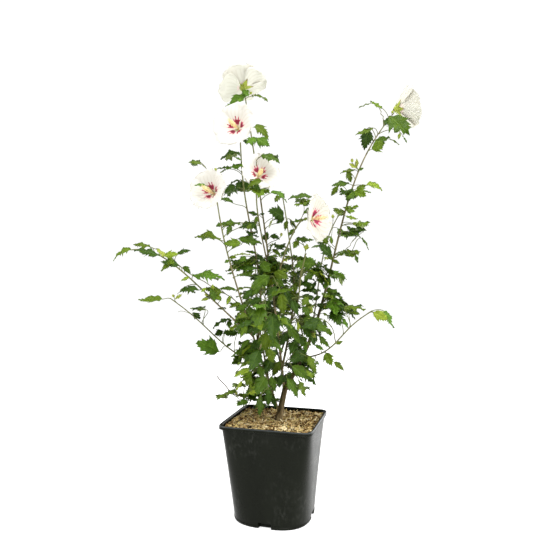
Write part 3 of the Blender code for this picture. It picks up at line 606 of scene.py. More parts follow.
# Leaves told one by one, as they are seen from the front: the blade's base, its tip, its seen width,
# its depth behind the trunk in millimetres, its green, and how far its middle is arched up.
# Pixels of a 553-pixel frame; the greens are numbered as in GREENS.
LEAVES = {
    "left": [
        (131, 250, 113, 261, 6.0, -95, 2, 4), (151, 247, 134, 245, 5.0, -60, 1, 1), (160, 256, 135, 250, 7.0, -95, 1, 0.5),
        (157, 249, 168, 258, 4.0, -55, 4, 0), (164, 256, 179, 254, 8.5, -85, 3, 1), (177, 255, 191, 251, 5.5, -70, 1, 1),
        (179, 266, 161, 262, 8.5, -85, 1, 1), (171, 262, 161, 271, 5.5, -90, 2, 0), (183, 267, 191, 274, 6.5, -60, 1, 1),
        (189, 277, 181, 281, 4.0, -75, 3, 0), (193, 276, 225, 280, 8.0, -65, 2, 4), (199, 290, 177, 294, 6.0, -70, 1, 4),
        (175, 299, 182, 294, 3.5, 65, 4, 0), (163, 299, 138, 300, 6.5, 80, 2, -0.5), (209, 299, 201, 301, 4.0, -60, 3, 1),
        (207, 310, 190, 308, 3.5, 45, 2, 0.5), (193, 313, 199, 319.5, 8.0, 50, 1, 0), (222, 293, 204, 289, 9.0, -60, 2, 1),
        (215, 301, 210, 287, 7.5, -66, 1, 0), (212, 291, 213, 284, 4.5, -62, 3, 0), (221, 298, 206, 297, 7.0, -50, 0, 1),
        (236, 290, 219, 289, 4.5, -55, 1, 1), (230, 296, 227, 305, 5.5, -50, 3, 0), (241, 303, 229, 308, 5.5, -45, 1, 1),
        (226, 308, 217, 309, 2.5, -50, 1, 0), (232, 320, 213, 328, 2.6, -12, 1, 3), (229, 320, 230, 328, 6.0, -12, 1, 0),
        (223, 331, 215, 334, 7.0, 2, 0, 0), (238, 333, 222, 333, 7.0, -6, 1, 0), (218, 352, 198, 341, 18.0, 28, 2, 2),
        (242, 356, 232, 363, 9.0, 8, 1, 0), (226, 347, 232, 343, 3.0, 20, 1, 0), (220, 240, 195, 238, 6.0, -66, 1, 4),
        (214, 293, 222, 301, 7.0, -58, 2, 0), (206, 288, 201, 292, 4.0, -70, 3, 0), (168, 258, 176, 264, 7.0, -80, 2, 0),
    ],
    "upper": [
        (249, 91, 226, 108, 12.0, 30, 3, -1), (243, 90, 249, 99, 8.0, 28, 2, 0), (252, 96, 268, 102, 4.0, 42, 1, 3),
        (254, 127, 269, 141, 11.0, 25, 2, 4), (256, 138, 270, 148, 12.5, 15, 2, 0), (256, 139, 247, 147, 10.0, 8, 2, 1),
        (248, 142, 243, 142, 4.5, 5, 0, 0), (240, 155, 221, 160, 5.5, -22, 1, 5), (241, 160, 234, 157, 3.0, -25, 2, 0),
        (201, 164, 189, 163, 5.5, -62, 2, 1), (246, 164, 222, 168, 7.0, -20, 2, -1), (227, 167, 216, 169, 2.4, -22, 1, 0),
        (227, 169, 218, 176, 2.4, -22, 1, 1), (261, 156, 280, 163, 9.0, -72, 1, 2), (205, 185, 195, 186, 4.0, -112, 2, 1),
        (241, 180, 229, 185, 3.0, -5, 1, 1), (237, 190, 251, 184, 11.0, 2, 0, 0), (236, 187, 224, 196, 8.0, -12, 1, 3),
        (249, 180, 262, 190, 7.0, 6, 1, 4), (257, 185, 259, 200, 19.0, -62, 2, 0), (233, 203, 219, 200, 5.5, -32, 1, 2),
        (271, 193, 287, 203, 6.0, 12, 2, 4), (311, 196, 288, 199, 7.0, -22, 1, 1), (311, 200, 294, 205, 5.5, -28, 2, -1),
        (304, 214, 311, 206, 5.0, -42, 1, 0), (284, 218, 268, 213, 14.0, 15, 1, 2), (284, 218, 276, 224, 6.5, 12, 0, 0),
        (273, 219, 269, 228, 2.2, 10, 3, 1), (287, 220, 285, 231, 5.5, 22, 2, 0), (258, 215, 248, 212, 5.5, -6, 1, 0),
        (260, 214, 265, 214, 3.0, 0, 0, 0), (257, 216, 255, 226, 5.5, -6, 2, 0), (240, 224, 216, 226, 5.5, -56, 1, 1.5),
        (231, 224, 227, 236, 6.0, -60, 1, 0), (256, 225, 239, 228, 9.0, -46, 1, 1), (252, 222, 257, 232, 5.0, -40, 0, 1),
        (246, 231, 259, 237, 3.5, -30, 1, -1), (241, 243, 223, 244, 10.5, -62, 2, 0), (237, 239, 262, 244, 11.0, -46, 1, 0.5),
        (265, 241, 268, 232, 7.5, 30, 1, 0), (270, 237, 280, 240, 7.0, 30, 1, 2), (267, 256, 273, 243, 4.0, 20, 1, 0),
        (273, 244, 285, 250, 4.0, 20, 0, -1), (279, 249, 286, 243, 4.5, 22, 0, 0), (268, 259, 279, 257, 3.5, 10, 1, 2),
        (272, 250, 281, 258, 6.0, 24, 2, 2), (255, 254, 266, 261, 6.5, -10, 0, -1), (257, 253, 245, 251, 3.2, -30, 1, 0),
        (229, 258, 237, 258, 5.0, -56, 1, 1), (246, 257, 240, 262, 6.5, -50, 1, 0), (243, 262, 232, 262, 4.0, -50, 1, 0),
        (232, 263, 247, 264, 3.5, -44, 1, -1), (229, 260, 225, 263, 4.5, -60, 1, 0), (257, 269, 235, 269, 6.5, -46, 1, 0.5),
        (254, 271, 242, 276, 6.0, -52, 1, 0), (233, 273, 227, 274, 2.4, -52, 1, 0), (292, 222, 308, 219, 4.0, -24, 1, 0),
        (303, 220, 308, 218, 4.0, -30, 3, 0), (290, 220, 296, 229, 5.0, 10, 0, 0), (295, 229, 288, 236, 6.0, 4, 1, 0),
        (296, 239, 314, 240, 6.5, -12, 1, -0.5), (298, 240, 293, 249, 7.0, -6, 2, 0), (306, 250, 307, 244, 6.0, -24, 4, 0),
        (241, 181, 236, 191, 8.0, -4, 1, 0), (263, 190, 270, 194, 8.0, -60, 2, 0), (262, 181, 247, 188, 9.0, -84, 1, 2), (250, 181, 261, 192, 9.0, -82, 0, 1), (254, 224, 246, 229, 7.0, -42, 1, 0),
    ],
    "centre": [
        (262, 262, 270, 273, 13.0, -30, 1, 0), (270, 276, 251, 290, 15.0, -90, 1, 1), (268, 262, 257, 276, 11.0, -20, 0, 0),
        (273, 262, 283, 272, 9.0, 5, 1, 1), (274, 272, 289, 279, 13.0, -36, 1, 1), (285, 264, 290, 271, 7.0, 12, 0, 0),
        (272, 279, 285, 288, 11.0, -20, 1, 1), (254, 275, 263, 284, 9.0, -40, 0, 0), (301, 257, 296, 260, 4.0, 0, 1, 0),
        (262, 299, 248, 305, 9.0, -170, 0, 1), (247, 304, 235, 311, 8.0, -55, 1, 0), (272, 314, 273, 339, 23.0, -205, 1, 0),
        (263, 312, 250, 323, 12.0, -150, 0, 1), (248, 317, 235, 320, 7.0, -60, 1, 3), (247, 325, 240, 338, 8.0, -55, 2, 0),
        (250, 340, 240, 350, 8.0, -50, 1, 1), (255, 346, 245, 354, 7.0, -48, 2, 0), (259, 350, 250, 369, 18.0, -85, 1, 0),
        (251, 368, 234, 377, 5.5, -62, 3, 1), (248, 361, 240, 367, 5.0, -55, 2, 0), (251, 375, 246, 387, 9.0, -55, 2, 0),
        (242, 381, 236, 391, 4.0, -30, 3, 1), (266, 377, 257, 392, 17.0, -78, 1, 1), (258, 391, 247, 394, 3.5, -60, 3, 0),
        (268, 390, 268, 407, 11.0, -60, 0, 0), (260, 398, 260, 417, 8.5, -66, 1, 1), (248, 401, 236, 406, 6.0, -4, 2, 1),
        (244, 400, 244, 392, 4.5, 8, 2, 0), (236, 392, 226, 394, 3.0, 8, 2, 1), (226, 394, 217, 400, 2.8, 6, 2, 1),
        (292, 366, 309, 380, 14.0, -62, 1, 1), (287, 378, 298, 398, 11.0, -58, 1, 1), (299, 380, 305, 397, 6.5, -52, 2, 0),
        (308, 357, 316, 374, 9.0, -62, 2, 3), (306, 350, 289, 362, 15.0, -42, 0, 0), (296, 352, 311, 363, 11.0, -34, 1, 0),
        (306, 370, 313, 378, 6.0, -50, 3, 0), (282, 374, 279, 388, 10.0, -42, 0, 0), (272, 357, 265, 373, 13.0, -24, 0, 0),
        (280, 361, 272, 377, 11.0, -16, 1, 0), (286, 325, 300, 344, 12.0, -54, 1, 1), (294, 335, 305, 346, 10.0, -48, 1, 0),
        (303, 338, 306, 353, 7.0, -42, 2, 0), (266, 338, 260, 352, 13.0, -60, 1, 1), (262, 340, 250, 348, 11.0, -50, 1, 0),
        (276, 335, 272, 347, 11.0, -26, 0, 0), (281, 293, 283, 315, 15.0, -60, 1, 0), (292, 300, 298, 316, 11.0, -34, 1, 1),
        (285, 290, 291, 305, 10.0, -22, 0, 0), (276, 286, 268, 300, 11.0, -64, 0, 0), (270, 300, 262, 313, 10.0, -46, 0, 0),
        (252, 290, 244, 298, 8.0, -50, 0, 0), (260, 287, 250, 296, 9.0, -48, 1, 0), (262, 322, 252, 336, 11.0, -62, 0, 0),
        (281, 316, 291, 330, 12.0, -70, 1, 0), (254, 357, 246, 364, 8.0, -60, 1, 0), (268, 348, 274, 362, 12.0, -52, 1, 0),
        (276, 350, 268, 358, 10.0, -40, 0, 0), (258, 366, 264, 378, 10.0, -50, 1, 0), (271, 376, 276, 392, 10.0, -50, 1, 0),
        (291, 372, 284, 382, 8.0, -30, 0, 0), (272, 395, 275, 408, 7.0, -40, 0, 0), (264, 384, 272, 398, 9.0, -52, 1, 0),
        (262, 394, 256, 408, 6.0, -45, 1, 0), (287, 333, 280, 346, 9.0, -30, 0, 0), (296, 340, 290, 354, 11.0, -36, 0, 0),
        (252, 372, 244, 380, 6.0, -55, 2, 0), (242, 329, 238, 334, 5.0, -50, 1, 0), (253, 328, 244, 333, 8.0, -40, 0, 0),
    ],
    "right": [
        (316, 264, 293, 268, 13.0, -25, 1, 2), (313, 272, 303, 281, 9.0, 15, 1, 0), (296, 282, 295, 292, 8.0, 26, 2, 0),
        (299, 284, 315, 286, 7.0, 14, 1, 1), (301, 291, 319, 290, 5.5, 20, 1, 1), (302, 296, 315, 298, 7.0, 10, 0, 0),
        (290, 272, 297, 277, 6.0, 30, 2, 0), (328, 244, 321, 237, 7.0, 42, 1, 0), (331, 256, 318, 245, 11.0, 36, 1, 1),
        (320, 246, 311, 248, 2.8, 30, 1, 1), (332, 260, 327, 250, 7.0, 38, 2, 0), (332, 244, 331, 236, 5.0, 48, 2, 0),
        (345, 214, 333, 210, 8.0, 52, 5, 0), (345, 208, 356, 211, 8.0, 56, 2, 0), (346, 216, 358, 219, 4.5, 56, 3, 0),
        (352, 223, 360, 225, 5.0, 60, 3, 0), (356, 225, 368, 224, 9.5, 60, 5, 0), (347, 226, 352, 231, 4.5, 55, 1, 0),
        (363, 229, 352, 231, 8.0, 50, 0, 0), (341, 236, 361, 237, 5.0, 46, 1, 3), (361, 238, 369, 250, 4.2, 46, 1, 2),
        (337, 257, 352, 251, 4.5, 40, 2, 2), (345, 255, 361, 251, 7.0, 46, 2, -1), (355, 255, 358, 263, 4.5, 46, 1, 0),
        (332, 260, 340, 264, 5.0, 40, 2, 0), (328, 275, 347, 280, 10.0, 35, 2, 2), (330, 278, 323, 289, 8.0, 30, 2, 0),
        (340, 276, 342, 286, 5.5, 35, 5, 0), (325, 292, 343, 302, 7.0, 36, 1, 5), (322, 294, 334, 299, 7.0, 30, 2, 0),
        (331, 298, 335, 314, 16.0, 10, 3, 0), (333, 309, 338, 324, 17.0, 6, 1, 0), (312, 333, 314, 346, 8.0, -48, 0, 0), (312, 360, 314, 374, 8.0, -50, 1, 0), (317, 304, 329, 309, 7.0, 24, 0, 0),
        (340, 310, 353, 309, 6.0, -12, 1, 1), (352, 312, 360, 314, 5.5, -20, 2, 0), (347, 306, 366, 309, 4.5, -30, 2, -0.5),
        (342, 318, 348, 328, 4.0, -12, 2, 0), (373, 312, 386, 319, 12.0, -82, 3, 0), (384, 311, 393, 328, 7.5, -80, 3, 2),
        (303, 319, 332, 334, 15.0, -50, 1, 1), (319, 320, 301, 327, 13.0, -58, 0, 0), (319, 336, 329, 347, 7.0, -44, 1, 0),
        (306, 308, 313, 312, 8.0, -24, 4, 0), (298, 322, 299, 332, 4.0, -62, 3, 0), (311, 333, 315, 337, 5.0, -50, 4, 0),
        (315, 345, 324, 350, 4.5, -42, 2, 0), (336, 344, 343, 341, 4.5, -60, 2, 0), (326, 353, 331, 364, 11.0, -16, 2, 0),
        (334, 362, 344, 371, 7.5, -20, 2, 1), (349, 184, 332, 186, 7.0, 60, 1, 1), (338, 186, 331, 196, 7.0, 60, 1, 0),
        (356, 170, 340, 173, 5.5, 56, 1, 1), (347, 171, 352, 182, 8.0, 52, 2, 0), (356, 168, 349, 163, 5.5, 50, 4, 0),
        (357, 168, 357, 158, 4.0, 50, 4, 0), (358, 170, 364, 168, 4.0, 50, 1, 0), (366, 185, 382, 191, 7.5, 42, 3, 3),
        (356, 189, 367, 185, 6.0, 45, 2, 0), (352, 191, 339, 195, 5.5, 38, 1, 0), (353, 190, 345, 204, 14.0, 36, 1, 0),
        (354, 191, 364, 198, 12.0, 36, 2, 0), (362, 191, 371, 193, 2.4, 36, 1, 0.5), (372, 149, 383, 146, 14.0, 30, 2, 0),
        (373, 148, 390, 138, 9.5, 33, 1, 3), (389, 139, 399, 145, 2.2, 30, 1, 1), (373, 128, 355, 135, 7.0, 60, 1, 0),
        (368, 128, 366, 147, 14.5, 62, 0, 0), (384, 120, 392, 128, 9.0, 32, 1, 0), (391, 116, 404, 141, 23.0, 14, 1, 0),
        (403, 136, 407, 143, 2.6, 14, 1, 0), (400, 133, 398, 140, 3.4, 14, 3, 0), (382, 108, 370, 101, 5.5, 52, 2, 0),
        (371, 103, 359, 107, 2.4, 52, 1, 0.5), (308, 297, 302, 306, 9.0, -20, 1, 0), (303, 306, 309, 317, 9.0, -35, 1, 0),
        (304, 328, 311, 338, 9.0, -45, 0, 0), (318, 262, 322, 268, 5.0, 50, 2, 0), (316, 268, 311, 276, 6.0, 40, 0, 0),
        (323, 268, 328, 264, 4.0, 55, 1, 0), (313, 300, 321, 296, 5.0, 30, 1, 0), (316, 281, 312, 290, 5.0, 30, 0, 0),
    ],
}


def joined_seed(*numbers):
    return np.random.default_rng([7, *[int(abs(n) * 10) for n in numbers]])


SHADE_OF_NEIGHBOUR = {0: 1, 1: 0, 2: 1, 3: 2, 4: 3, 5: 2}
leaf_bundles = {region: Bundle() for region in (*LEAVES, "low", "back")}
STALKS = []  # where each leaf's stalk ends, the way that the leaf sets off, and its length


def seen_leaf(region, row):
    """A leaf of the table. Its blade is rolled so that it looks as wide as told from the front, and a
    leaf that looks too short for its width points towards the viewer or away."""
    u0, v0, u1, v1, width, depth, shade, arch = row
    rng = joined_seed(u0, v0, u1, v1)
    scale = (depth / 1000 - EYE.y) / FOCAL
    base, tip = np.array(at(u0, v0, depth)), np.array(at(u1, v1, depth))
    seen = np.linalg.norm(tip - base)
    wide = {"left": 1.18, "upper": 1.08, "right": 1.12}.get(region, 1.04) * width * scale
    length = max(seen, min(1.45 * seen, wide / 0.72))
    lean = math.sqrt(max(0.0, length**2 - seen**2)) + abs(rng.normal(0, 0.003))
    tip[1] += lean * (1 if depth > 45 else -1)
    along = unit(tip - base)
    ratio = min(0.98, max(0.62, wide / length))
    facing_share = min(1.0, wide / (ratio * length))
    roll = math.acos(min(0.995, facing_share))
    viewer = np.array([0, -1.0, 0]) - along * np.dot([0, -1.0, 0], along)
    upward = np.array([0, 0, 1.0]) - along * np.dot([0, 0, 1.0], along)
    if np.linalg.norm(upward) < 0.35:  # a hanging leaf looks outwards
        upward = np.cross(along, unit(viewer)) * (1 if rng.random() < 0.5 else -1)
    facing = unit(viewer) * math.cos(roll) + unit(upward) * math.sin(roll)
    lift = np.array([0, 0, arch * scale])
    first, length = leaf(
        leaf_bundles[region], base, tip, lift, facing, ratio / 0.98 * 1.02,
        rng.uniform(0.35, 0.80) if width > 5.5 else rng.uniform(0.1, 0.4), rng.uniform(0.05, 0.32), shade, rng,
    )
    STALKS.append((base, first, length, shade))
    return base, tip, wide, length


def leaf_behind(region, row, away):
    """A leaf at another depth that lies, from the front, within the outline of the one that is told."""
    u0, v0, u1, v1, width, depth, shade, _ = row
    rng = joined_seed(u0, v0, u1, away)
    middle_u, middle_v = (u0 + u1) / 2, (v0 + v1) / 2
    place = depth + away
    scale = (place / 1000 - EYE.y) / FOCAL
    middle = np.array(at(middle_u, middle_v, place))
    span_seen = abs(u1 - u0) * scale
    length = rng.uniform(0.044, 0.062)
    turn = math.copysign(math.acos(min(0.8, 0.55 * span_seen / length)), away)
    across = 1 if rng.random() < 0.5 else -1
    heading = np.array([across * math.cos(turn), math.sin(turn), 0.0])
    drop = min(0.6, max(0.04, (abs(v1 - v0) * 0.5 + width * 0.45) * scale / length))
    heading = unit(heading + np.array([0, 0, -drop * rng.uniform(0.4, 1.0)]))
    base, tip = middle - heading * length * 0.5, middle + heading * length * 0.5
    upward = unit(np.array([rng.normal(0, 0.12), 0, 1.0]) - heading * heading[2])
    first, length = leaf(
        leaf_bundles[region], base, tip, np.array([0, 0, rng.uniform(0.001, 0.004)]), upward, rng.uniform(0.60, 0.76),
        rng.uniform(0.3, 1.0), rng.uniform(0.05, 0.3), SHADE_OF_NEIGHBOUR[shade] if rng.random() < 0.5 else min(2, shade), rng,
    )
    STALKS.append((base, first, length, shade))


for region, rows in LEAVES.items():
    for row in rows:
        seen_leaf(region, row)
for region, rows in LEAVES.items():
    for k, row in enumerate(rows):
        if row[4] < 2.7 or (region != "centre" and abs(row[2] - row[0]) < 11) or (region == "left" and row[2] < 150) or row[1] < 150:
            continue
        pick = joined_seed(k, row[0], row[1])
        if region == "centre" or pick.random() < 0.72:
            side_of = 1 if row[5] < 30 else -1
            leaf_behind(region, row, side_of * pick.uniform(38, 66))
        if region == "centre" and pick.random() < 0.75:
            leaf_behind(region, row, pick.uniform(80, 120))

# Sprays that the front hides: alternate leaves up the last part of each back bough.
SPRAYS = {
    "back_left_bough": (18, 0.46, 1.0, 0.052), "back_right_bough": (18, 0.46, 1.0, 0.052),
    "back_bough": (24, 0.40, 1.0, 0.058), "front_bough": (9, 0.45, 1.0, 0.052),
    "right_inner_stem": (9, 0.26, 0.86, 0.048), "inner_stem": (8, 0.28, 0.66, 0.046),
}


def grown_spray(name, count, since, until, reach, rng):
    """Leaves in a spiral up a bough, each on a stalk that climbs and then lets its blade droop."""
    bundle = leaf_bundles["back" if name.startswith("back") else "centre" if name == "front_bough" else "right" if "right" in name else "left" if "left" in name else "upper"]
    for k in range(count):
        share = since + (until - since) * (k + 0.5) / count
        root = limb_point(name, min(1.0, share))
        ahead = unit(limb_point(name, min(1.0, share + 0.02)) - limb_point(name, share - 0.02))
        angle = 2.4 * k + rng.normal(0, 0.25)
        out = np.array([math.cos(angle), math.sin(angle), 0.0])
        out = unit(out - ahead * np.dot(out, ahead) * 0.7)
        if name == "front_bough" and out[1] > 0.3:
            out[1] *= -1
        if name in ("right_inner_stem", "inner_stem"):
            out = unit(out * np.array([0.35, 1, 1]))
            out[1] = abs(out[1])
        stalk = rng.uniform(0.016, 0.032)
        base = root + unit(out + 0.55 * ahead + [0, 0, 0.35]) * stalk
        length = rng.uniform(0.78, 1.15) * reach
        heading = unit(out + 0.20 * ahead + np.array([0, 0, rng.uniform(-0.85, -0.15)]))
        tip = base + heading * length
        upward = unit(np.array([0, 0, 1.0]) + 0.5 * out + rng.normal(0, 0.15, 3))
        shade = int(rng.choice([0, 1, 1, 1, 2, 2, 3]))
        if k >= count - 2:
            shade, length = 3 if name != "front_bough" else 1, length * 0.6
        first, length = leaf(
            bundle, base, tip, np.array([0, 0, length * rng.uniform(0.05, 0.13)]), upward,
            rng.uniform(0.64, 0.80), rng.uniform(0.4, 1.0), rng.uniform(0.05, 0.30), shade, rng,
        )
        STALKS.append((base, first, length, shade))


for name, (count, since, until, reach) in SPRAYS.items():
    grown_spray(name, count, since, until, reach, joined_seed(len(name), count, ord(name[0])))

# The dense heart of the shrub: shaded leaves inside these masses, as many as are told for each.
HEART = {
    "centre_a": 24, "centre_b": 34, "centre_left": 24, "centre_right_low": 28, "low_left": 24,
    "foot_left": 18, "foot_right": 26, "front_leafy": 8, "right_centre": 16, "right_low": 12, "left_neck": 8,
}


STEMS_IN_VIEW = [
    np.array([limb_point(name, share) for share in np.linspace(0, 1, 120)])
    for name in ("trunk", "centre_stem", "right_stem")
]


def clear_of_stems(centre):
    """A leaf that would hide one of the three bare stems low in the crown stands behind it instead."""
    for stem in STEMS_IN_VIEW:
        near = stem[np.argmin(np.abs(stem[:, 2] - centre[2]))]
        seen = (centre[0] - EYE.x) / (centre[1] - EYE.y) - (near[0] - EYE.x) / (near[1] - EYE.y)
        if 0.27 < centre[2] < 0.47 and abs(seen) * FOCAL < 10 and centre[1] < near[1] + 0.012:
            centre = np.array([centre[0], near[1] + 0.016 + 0.6 * abs(near[1] + 0.012 - centre[1]), centre[2]])
    return centre


def filled_mass(mass, count, rng):
    """Leaves set all through a mass, each headed away from the middle of the plant and drooping."""
    low, high = (np.array(corner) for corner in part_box(f"{mass}_leaves"))
    c, s = math.cos(PLANT_TURN), math.sin(PLANT_TURN)
    to_plant = np.array([[c, s, 0], [-s, c, 0], [0, 0, 1]])
    middle, half = to_plant @ (low + high) / 2, (high - low) / 2
    bundle = leaf_bundles["right" if mass.startswith("right") else "upper" if mass in ("centre_a", "left_neck")
        else "low" if mass in ("centre_right_low", "low_left", "foot_left", "foot_right") else "centre"]
    for _ in range(count):
        spot = unit(rng.normal(0, 1, 3)) * rng.uniform(0.1, 0.80) * half
        centre = clear_of_stems(middle + spot)
        away = unit(np.array([centre[0] - 0.01, centre[1], 0.0]) + rng.normal(0, 0.03, 3) * (1, 1, 0))
        heading = unit(away + np.array([0, 0, rng.uniform(-1.3, -0.2)]))
        length = rng.uniform(0.031, 0.048)
        base, tip = centre - heading * length * 0.5, centre + heading * length * 0.5
        upward = unit(np.array([0, 0, 1.0]) + 0.7 * away + rng.normal(0, 0.25, 3))
        # Leaves in the back half of a mass take only the darkest greens: painted shade deep in the crown.
        shade = int(rng.choice([0, 0, 1, 1, 2, 2, 3])) if centre[1] < middle[1] else int(rng.choice([0, 0, 1]))
        first, length = leaf(
            bundle, base, tip, np.array([0, 0, length * rng.uniform(0.03, 0.12)]), upward,
            rng.uniform(0.66, 0.86), rng.uniform(0.55, 1.0), rng.uniform(0.05, 0.40), shade, rng,
        )
        STALKS.append((base, first, length, shade))


for mass, count in HEART.items():
    filled_mass(mass, count, joined_seed(len(mass), count, ord(mass[-1])))


# ---------------------------------------------------------------- growing leaves onto the wood
def join_to_wood():
    """Each leaf's stalk sets off from the nearest limb or twig at an acute angle. A leaf too far from
    any wood first gets a twig, which then carries others."""
    waiting = list(range(len(STALKS)))
    bases = np.array([s[0] for s in STALKS])
    while waiting:
        wood = np.concatenate(SKELETON["points"])
        along = np.concatenate(SKELETON["along"])
        thick = np.concatenate(SKELETON["radius"])
        best = []
        for i in waiting:
            gap = bases[i] - wood
            far = np.linalg.norm(gap, axis=1) + 1e-9
            acute = (gap * along).sum(1) / far
            climb = gap[:, 2] / far
            cost = far * (1 + 0.45 * (1 - acute) + 0.30 * (1 - climb)) + np.where(thick > 0.006, 0.03, 0.0)
            j = int(np.argmin(cost))
            best.append((far[j], i, j))
        near = [b for b in best if b[0] <= 0.052]
        twig = not near
        for far, i, j in near or [min(best)]:
            base, first, length, shade = STALKS[i]
            start = wood[j]
            leave = unit(0.55 * along[j] + 0.9 * (base - start) / far + np.array([0, 0, 0.25]))
            arrive = unit(0.7 * first + 0.3 * (base - start) / far)
            line = bezier(start, start + leave * far * 0.38, base - arrive * far * 0.34, base, 14 if twig else 9)
            if twig:
                rng = joined_seed(i, j, 3)
                bend = rng.normal(0, 0.0012, (14, 3)) * np.sin(np.linspace(0, math.pi, 14))[:, None]
                line = line + bend
                radii = np.linspace(min(0.00105, thick[j] * 0.9), 0.00058, 14)
                add_to_skeleton(line[:-2], radii[:-2])
                ring, quads = tube(line, radii, 6)
                twig_bundle.add(ring, quads, 0)
            else:
                thin = 0.00056 + 0.00026 * min(1.0, length / 0.06)
                radii = np.linspace(thin * 1.25, thin, 9)
                radii[0] *= 1.5
                ring, quads = tube(line, radii, 5)
                twig_bundle.add(ring, quads, 1)
            waiting.remove(i)


join_to_wood()

# ---------------------------------------------------------------- blooms
# Foot of the calyx, facing, petal radius and how far the petals stand forward (plant axes, mm), the
# turn of the first petal in degrees, which way the column leans, and how far the petals curl back.
BLOOMS = {
    "first_bloom": ((-80, 35, 977), (-0.06, 0.46, 0.88), 58, 30, 2, (0, 0, 0), 0.10),
    "second_bloom": ((-84, -22, 868), (-0.34, -0.91, 0.20), 53, 36, 12, (-0.34, 0, 0.30), 0.22),
    "third_bloom": ((-42, -40, 760), (0.22, -0.93, 0.26), 43, 34, 40, (0.02, 0, -0.10), 0.20),
    "fourth_bloom": ((-130, -85, 715), (-0.40, -0.87, 0.20), 44, 36, 20, (-0.30, 0, 0.18), 0.18),
    "fifth_bloom": ((68, -54, 667), (0.86, -0.50, 0.05), 54, 30, 66, (0.35, 0, 0.02), 0.10),
    "sixth_bloom": ((277, 50, 938), (0.93, 0.22, 0.24), 50, 46, 18, (0, 0, 0), 0.05),
}
# How far each of the five petals stands forward, against the bloom's own measure, where they differ.
STANCE = {"first_bloom": (0.10, 0.85, 0.75, 1.0, 1.0), "fifth_bloom": (1.0, 1.1, 0.9, 0.8, 1.15)}
CALYX_SIZE = {"first_bloom": 1.30, "sixth_bloom": 1.20, "fifth_bloom": 0.90}
BLOTCH = {"fifth_bloom": 1.45}
SEPAL_SPREAD = {"first_bloom": 1.25, "fifth_bloom": 0.95}
ACROSS_PETAL, ALONG_PETAL = 25, 26
BLOOM_PAINTS = [PETAL, PETAL_BACK, BLUSH, CRIMSON, MAROON, COLUMN, POLLEN, SEPAL, SEPAL_TIP, FLUSH, THROAT_PAINTED_LIGHT, RIB, RIB_BACK]


